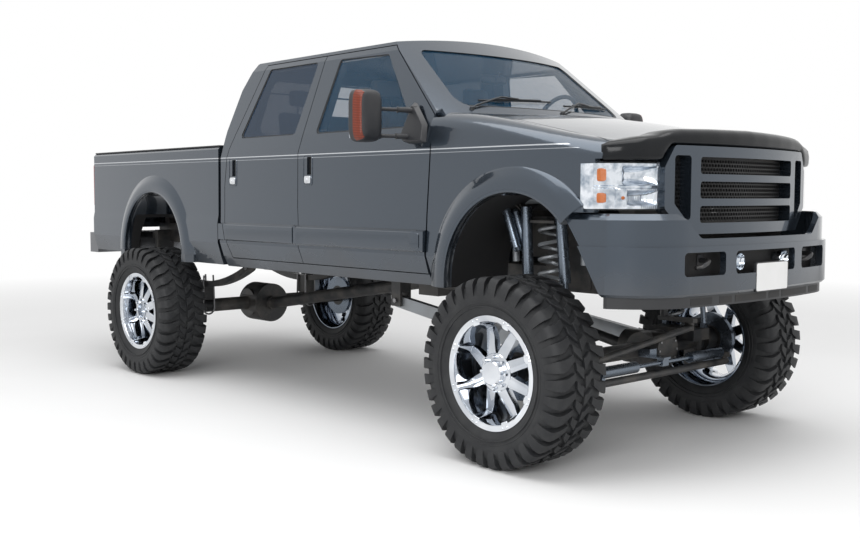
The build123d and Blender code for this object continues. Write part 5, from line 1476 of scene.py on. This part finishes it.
def smooth_line(points, steps=8):
    """A flowing line through its points."""
    ends = [Vector(points[0]) * 2 - Vector(points[1])] + [Vector(p) for p in points]
    ends.append(Vector(points[-1]) * 2 - Vector(points[-2]))
    line = []
    for a, b, c, d in zip(ends, ends[1:], ends[2:], ends[3:]):
        for step in range(steps):
            t = step / steps
            slope = (c - a) * t
            bend = (2 * a - 5 * b + 4 * c - d) * t * t
            twist = (3 * b - a - 3 * c + d) * t ** 3
            line.append(0.5 * ((2 * b) + slope + bend + twist))
    line.append(Vector(points[-1]))
    return line


# Caliper: its start and sweep round the axle in degrees; its section as radius from the axle and
# place outward from the wheel's middle
caliper_start, caliper_sweep, caliper_steps = 152, 56, 8
caliper_section = ((0.128, -0.052), (0.185, -0.050), (0.188, -0.100), (0.170, -0.118), (0.128, -0.112))
for side, word in both_sides:
    cans = new_piece("shock_cans_" + word, bright_steel)
    work = bmesh.new()
    for top, low in (
        ((axle_x - 0.327, 0.700, 1.384), (axle_x - 0.232, 0.700, 1.142)),
        ((axle_x - 0.295, 0.655, 1.372), (axle_x - 0.190, 0.655, 1.115)),
    ):
        start, end = Vector((top[0], side * top[1], top[2])), Vector((low[0], side * low[1], low[2]))
        add_rod(work, start.lerp(end, 0.12), end, 0.026, 28)
        add_rod(work, end, end + (end - start).normalized() * 0.018, 0.026, 28, 0.017)
        add_rod(work, start.lerp(end, 0.06), start.lerp(end, 0.12), 0.020, 28, 0.026)
        for share in (0.35, 0.82):
            add_rod(work, start.lerp(end, share - 0.02), start.lerp(end, share + 0.02), 0.0295, 28)
    finish_piece(cans, work, "chassis", 35, 0.0012)
    hoses = new_piece("shock_hoses_" + word, hose_rubber)
    work = bmesh.new()
    for start, over, end in (
        ((axle_x - 0.325, 0.700, 1.375), (axle_x - 0.340, 0.690, 1.445), (axle_x - 0.215, 0.665, 1.340)),
        ((axle_x - 0.293, 0.655, 1.365), (axle_x - 0.300, 0.650, 1.440), (axle_x - 0.205, 0.660, 1.330)),
    ):
        add_tube(work, smooth_line([(x, side * y, z) for x, y, z in (start, over, end)]), 0.0055, 10)
    finish_piece(hoses, work, "chassis", 60)
    hoop = new_piece("tower_hoop_" + word, link_steel)
    work = bmesh.new()
    hoop_line = [
        (axle_x - 0.330, 0.598, 1.060), (axle_x - 0.335, 0.600, 1.300), (axle_x - 0.300, 0.604, 1.392),
        (axle_x - 0.200, 0.606, 1.412), (axle_x + 0.040, 0.606, 1.412), (axle_x + 0.140, 0.604, 1.392),
        (axle_x + 0.175, 0.600, 1.300), (axle_x + 0.172, 0.598, 1.060),
    ]
    add_tube(work, smooth_line([(x, side * y, z) for x, y, z in hoop_line], 6), 0.0205, 16)
    finish_piece(hoop, work, "chassis", 60)
    caliper = new_piece("caliper_" + word, cast_block)
    work = bmesh.new()
    centre = wheel_place("front_" + word)[0]
    loops = []
    for step in range(caliper_steps + 1):
        turn = math.radians(caliper_start + caliper_sweep * step / caliper_steps)
        out = Vector((math.cos(turn), 0, math.sin(turn)))
        loops.append([
            centre + out * radius + Vector((0, side * y, 0))
            for radius, y in caliper_section
        ])
    add_prism(work, loops)
    finish_piece(caliper, work, "steer_" + word, 40, 0.004)

# Fasteners under the truck: nuts on the axle covers, spring clamps round the rear axle, and
# bolts through the arm and spring brackets.
bolt_steel = dusty("bolt_steel", colour(0.30, 0.30, 0.31), road_dust, 0.35, 0.35, 30.0, Metallic=0.8)
fasteners = new_piece("fasteners", bolt_steel)
work = bmesh.new()
rear_x = wheel_place("rear_right")[0].x
axle_z = wheel_place("rear_right")[0].z
nut_ring_count = 10
for hub_x, hub_y, facing, reach in ((axle_x, 0.255, 1, 0.130), (rear_x, 0.047, -1, 0.165)):
    ring_radius = 0.088 if facing > 0 else 0.098
    for turn in circle_turns(nut_ring_count):
        spot = Vector((
            hub_x + facing * reach,
            hub_y + ring_radius * math.cos(turn),
            axle_z + ring_radius * math.sin(turn),
        ))
        add_rod(
            work, spot - Vector((facing * 0.008, 0, 0)), spot + Vector((facing * 0.007, 0, 0)), 0.0085, 6
        )
for side in (-1, 1):
    for x in (rear_x - 0.062, rear_x + 0.062):
        y = side * 0.520
        arch = [
            (x, y - 0.044, axle_z + 0.260), (x, y - 0.052, axle_z), (x, y - 0.036, axle_z - 0.050),
            (x, y, axle_z - 0.066),
            (x, y + 0.036, axle_z - 0.050), (x, y + 0.052, axle_z), (x, y + 0.044, axle_z + 0.260),
        ]
        add_tube(work, smooth_line(arch, 4), 0.0075, 10)
    for x, z, inner, outer in (
        (axle_x - 1.522, 0.735, 0.395, 0.505), (axle_x, 0.545, 0.415, 0.485),
        (rear_x - 0.760, 0.864, 0.478, 0.562), (rear_x + 0.700, 0.864, 0.478, 0.562),
    ):
        add_rod(work, (x, side * inner, z), (x, side * outer, z), 0.011, 6)
        add_rod(work, (x, side * (outer - 0.006), z), (x, side * (outer + 0.006), z), 0.017, 6)
finish_piece(fasteners, work, "chassis", 35, 0.0008)

# Bed. A black ribbed liner on the floor, black caps along the rails, a handle in the tailgate,
# a blank plate on the step bumper and black treads on its top.
liner_floor = new_piece("bed_liner", liner_plastic)
work = bmesh.new()
bed_low, bed_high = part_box("bed_box")
bed_floor_z = 1.2873
rib_pitch = 0.062
rows = []
profile = []
bed_half = 0.60
y = -bed_half
while y < bed_half:
    profile += [(y, 0.004), (y + 0.010, 0.013), (y + 0.036, 0.013), (y + 0.046, 0.004)]
    y += rib_pitch
for x in (bed_low.x + 0.085, bed_high.x - 0.075):
    loop = [Vector((x, y, bed_floor_z + rise)) for y, rise in profile]
    loop += [Vector((x, end[0], bed_floor_z + 0.0005)) for end in (profile[-1], profile[0])]
    rows.append(loop)
add_prism(work, rows)
finish_piece(liner_floor, work, "chassis", 25)
caps = new_piece("bed_rail_caps", black_plastic)
work = bmesh.new()
for side in (-1, 1):
    low_y, high_y = sorted((side * 0.842, side * 0.975))
    add_block(
        work, (bed_low.x + 0.004, low_y, bed_high.z - 0.001),
        (bed_high.x - 0.002, high_y, bed_high.z + 0.009),
    )
add_block(
    work, (bed_high.x - 0.062, -0.84, bed_high.z - 0.001), (bed_high.x - 0.002, 0.84, bed_high.z + 0.007)
)
finish_piece(caps, work, "chassis", 30, 0.004)
gate_handle = new_piece("tailgate_handle", black_plastic)
work = bmesh.new()
gate_low, gate_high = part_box("tailgate")
mid_z = gate_high.z - 0.150
# Handle section: place from the gate's rear face, half width, half height
handle_section = (
    (0.021, 0.145, 0.036), (0.010, 0.145, 0.036), (0.004, 0.120, 0.020), (0.003, 0.116, 0.017),
)
loops = []
for x, half, tall in handle_section:
    corners = [(-half, -tall), (half, -tall), (half, tall), (-half, tall)]
    loops.append([Vector((gate_low.x + x, y, mid_z + z)) for y, z in rounded_outline(corners, 0.012, 4)])
add_prism(work, loops)
finish_piece(gate_handle, work, "tailgate_lid", 35, 0.001)
rear_plate = new_piece("rear_plate", plate_white)
work = bmesh.new()
step_low, step_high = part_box("rear_bumper")
rear_depths = (step_low.x + 0.0030, step_low.x - 0.0001)
add_prism(work, plate_loops(0.152, 0.076, rear_depths, 0.010, Vector((0, 0, 1.018))))
finish_piece(rear_plate, work, "chassis", 30)
treads = new_piece("step_treads", black_plastic)
work = bmesh.new()
for side in (-1, 1):
    low_y, high_y = sorted((side * 0.30, side * 0.80))
    for row in range(5):
        x = step_low.x + 0.030 + row * 0.026
        add_block(work, (x, low_y, step_high.z - 0.001), (x + 0.014, high_y, step_high.z + 0.005))
finish_piece(treads, work, "chassis", 30, 0.002)

# Wheel arch flares. A rounded lip of painted steel follows each arch and rolls under at its
# edge. Made as one section carried round the arch, close over the CAD form. The section's rows
# say the distance out from the arch edge and the distance from the middle of the truck.
flare_section = [
    (0.150, 0.9550), (0.150, 0.9730), (0.138, 0.9850), (0.122, 0.9930), (0.104, 1.0020), (0.086, 1.0105),
    (0.068, 1.0165), (0.046, 1.0192), (0.020, 1.0198), (0.006, 1.0188), (0.000, 1.0150), (-0.002, 1.0090),
    (-0.002, 0.9700), (0.010, 0.9550),
]
# Arch rows: word, middle x, middle z, radius, first angle, drop in front, drop behind
flare_rows = [
    ("front", axle_x - 0.010, 0.965, 0.490, 42, 0.0, 0.965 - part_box("fenders")[0].z - 0.004),
    ("rear", rear_x + 0.025, 0.985, 0.475, 0, 0.985 - bed_low.z - 0.06, 0.985 - bed_low.z - 0.06),
]
for word, mid_x, mid_z, arch, first_turn, drop_front, drop_behind in flare_rows:
    stations = []
    if drop_front > 0:
        stations.append((0.0, -drop_front))
    for step in range(first_turn, 181, 3):
        stations.append((math.radians(step), 0.0))
    if drop_behind > 0:
        stations.append((math.pi, -drop_behind))
    for side, side_word in both_sides:
        flare = new_piece("flare_%s_%s" % (word, side_word), paint)
        work = bmesh.new()
        loops = []
        for turn, fall in stations:
            loops.append([
                Vector((
                    mid_x + (arch + out) * math.cos(turn),
                    side * y,
                    mid_z + (arch + out) * math.sin(turn) + fall,
                ))
                for out, y in flare_section
            ])
        add_prism(work, loops)
        finish_piece(flare, work, "chassis", 50)

# Engine bay. A ribbed cover lies on the engine block with an oil cap, and two hoses run forward
# from it. Moulded black plastic and rubber, seen with the hood open.
block_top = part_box("powertrain")[1].z
bay_places = []
for step in range(60):
    x = axle_x - 0.70 + step * 0.02
    found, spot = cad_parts["powertrain"].ray_cast(Vector((x, 0.0, 3.0)), Vector((0, 0, -1)))[:2]
    if found and spot.z > block_top - 0.012:
        bay_places.append(x)
bay_low, bay_high = min(bay_places) + 0.03, max(bay_places) - 0.03
bay_mid = (bay_low + bay_high) / 2
cover = new_piece("engine_cover", black_plastic)
work = bmesh.new()
cover_half = (bay_high - bay_low) / 2
cover_steps = ((cover_half, 0.215, -0.002, 0.016), (cover_half - 0.03, 0.185, 0.014, 0.026))
for half_x, half_y, low, high in cover_steps:
    corners = [(-half_x, -half_y), (half_x, -half_y), (half_x, half_y), (-half_x, half_y)]
    outline = rounded_outline(corners, 0.028, 5)
    add_prism(work, [[Vector((bay_mid + x, y, block_top + z)) for x, y in outline] for z in (low, high)])
for row in range(-4, 5):
    y = row * 0.038
    add_block(
        work, (bay_mid - cover_half + 0.06, y - 0.006, block_top + 0.020),
        (bay_mid + cover_half - 0.14, y + 0.006, block_top + 0.034),
    )
cap_x = bay_mid + cover_half - 0.085
add_rod(work, (cap_x, 0.11, block_top + 0.02), (cap_x, 0.11, block_top + 0.050), 0.030, 28)
add_block(work, (cap_x - 0.025, 0.105, block_top + 0.048), (cap_x + 0.025, 0.115, block_top + 0.060))
finish_piece(cover, work, "chassis", 40, 0.002)
bay_hoses = new_piece("engine_hoses", hose_rubber)
work = bmesh.new()
for y_start, y_end, sink in ((-0.14, -0.30, 0.06), (0.16, 0.34, 0.10)):
    hose = [
        (bay_high - 0.02, y_start, block_top - 0.02), (bay_high + 0.06, y_start, block_top - 0.010),
        (bay_high + 0.14, (y_start + y_end) / 2, block_top - sink),
        (bay_high + 0.21, y_end, block_top - sink - 0.03),
    ]
    add_tube(work, smooth_line(hose, 10), 0.021, 18)
finish_piece(bay_hoses, work, "chassis", 60)

# Cab inside. An instrument hood and slatted vents on the dashboard, a thick-rimmed steering wheel
# with open spokes on its column, and the mirror at the top of the screen.
cluster = new_piece("dash_detail", black_plastic)
work = bmesh.new()
wheel_mid = Vector((axle_x - 0.980, 0.480, 1.950))
column = Vector((0.88295, 0, -0.46947))
hood_line = []
for step in range(17):
    turn = math.pi * step / 16
    hood_line.append((wheel_mid.y + 0.155 * math.cos(turn), 1.868 + 0.082 * math.sin(turn)))
hood_line_low = [(y, max(1.858, z - 0.014)) for y, z in reversed(hood_line)]
add_prism(work, [
    [Vector((x, y, z)) for y, z in hood_line + hood_line_low] for x in (axle_x - 0.862, axle_x - 0.745)
])
for y in (-0.72, -0.10, 0.16, 0.74):
    for slat in range(4):
        z = 1.765 + slat * 0.016
        slat_x = axle_x - 0.893 + slat * 0.002
        add_block(work, (slat_x, y - 0.055, z), (axle_x - 0.872, y + 0.055, z + 0.006))
finish_piece(cluster, work, "chassis", 40, 0.002)
hand_wheel = new_piece("hand_wheel_rim", black_plastic)
work = bmesh.new()
side_axis = Vector((0, 1, 0))
up_axis = side_axis.cross(column).normalized()
if up_axis.z < 0:
    up_axis = -up_axis
ring_mid = wheel_mid + column * 0.013
rim_radius = 0.186
ring = [
    ring_mid + side_axis * rim_radius * math.cos(turn) + up_axis * rim_radius * math.sin(turn)
    for turn in circle_turns(72)
]
add_tube(work, ring, 0.0145, 14, True)
for turn in (8, 172, 250, 290):
    out = side_axis * math.cos(math.radians(turn)) + up_axis * math.sin(math.radians(turn))
    sideways = out.cross(column).normalized()
    loops = []
    for reach, half, sink in ((0.040, 0.024, 0.004), (0.100, 0.016, 0.006), (0.180, 0.013, 0.0)):
        middle = ring_mid + out * reach + column * sink
        loops.append([
            middle + sideways * half - column * 0.006, middle + sideways * half + column * 0.006,
            middle - sideways * half + column * 0.006, middle - sideways * half - column * 0.006,
        ])
    add_prism(work, loops)
pad = []
for out_by, size in ((0.020, 0.060), (0.004, 0.074), (-0.012, 0.070), (-0.018, 0.050)):
    pad.append([
        ring_mid + column * out_by + side_axis * size * 1.05 * c + up_axis * size * s
        for c, s in [squircle(turn, 3.0) for turn in circle_turns(40)]
    ])
add_prism(work, pad)
add_rod(work, ring_mid + column * 0.015, ring_mid + column * 0.150, 0.029, 28)
finish_piece(hand_wheel, work, "hand_wheel", 45, 0.002)
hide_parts("steering_wheel")
inside_mirror = new_piece("inside_mirror", black_plastic)
work = bmesh.new()
mirror_mid = Vector((axle_x - 1.105, 0.0, 2.205))
mirror_outline = [squircle(turn, 4.0) for turn in circle_turns(40)]
add_prism(work, [
    [mirror_mid + Vector((x, 0.118 * grow * c, 0.031 * grow * s)) for c, s in mirror_outline]
    for x, grow in ((-0.010, 0.95), (-0.006, 1.0), (0.008, 0.97), (0.020, 0.7), (0.024, 0.4))
])
add_rod(work, mirror_mid + Vector((0.02, 0, 0)), mirror_mid + Vector((0.055, 0, 0.045)), 0.009, 14)
finish_piece(inside_mirror, work, "chassis", 45, 0.001)
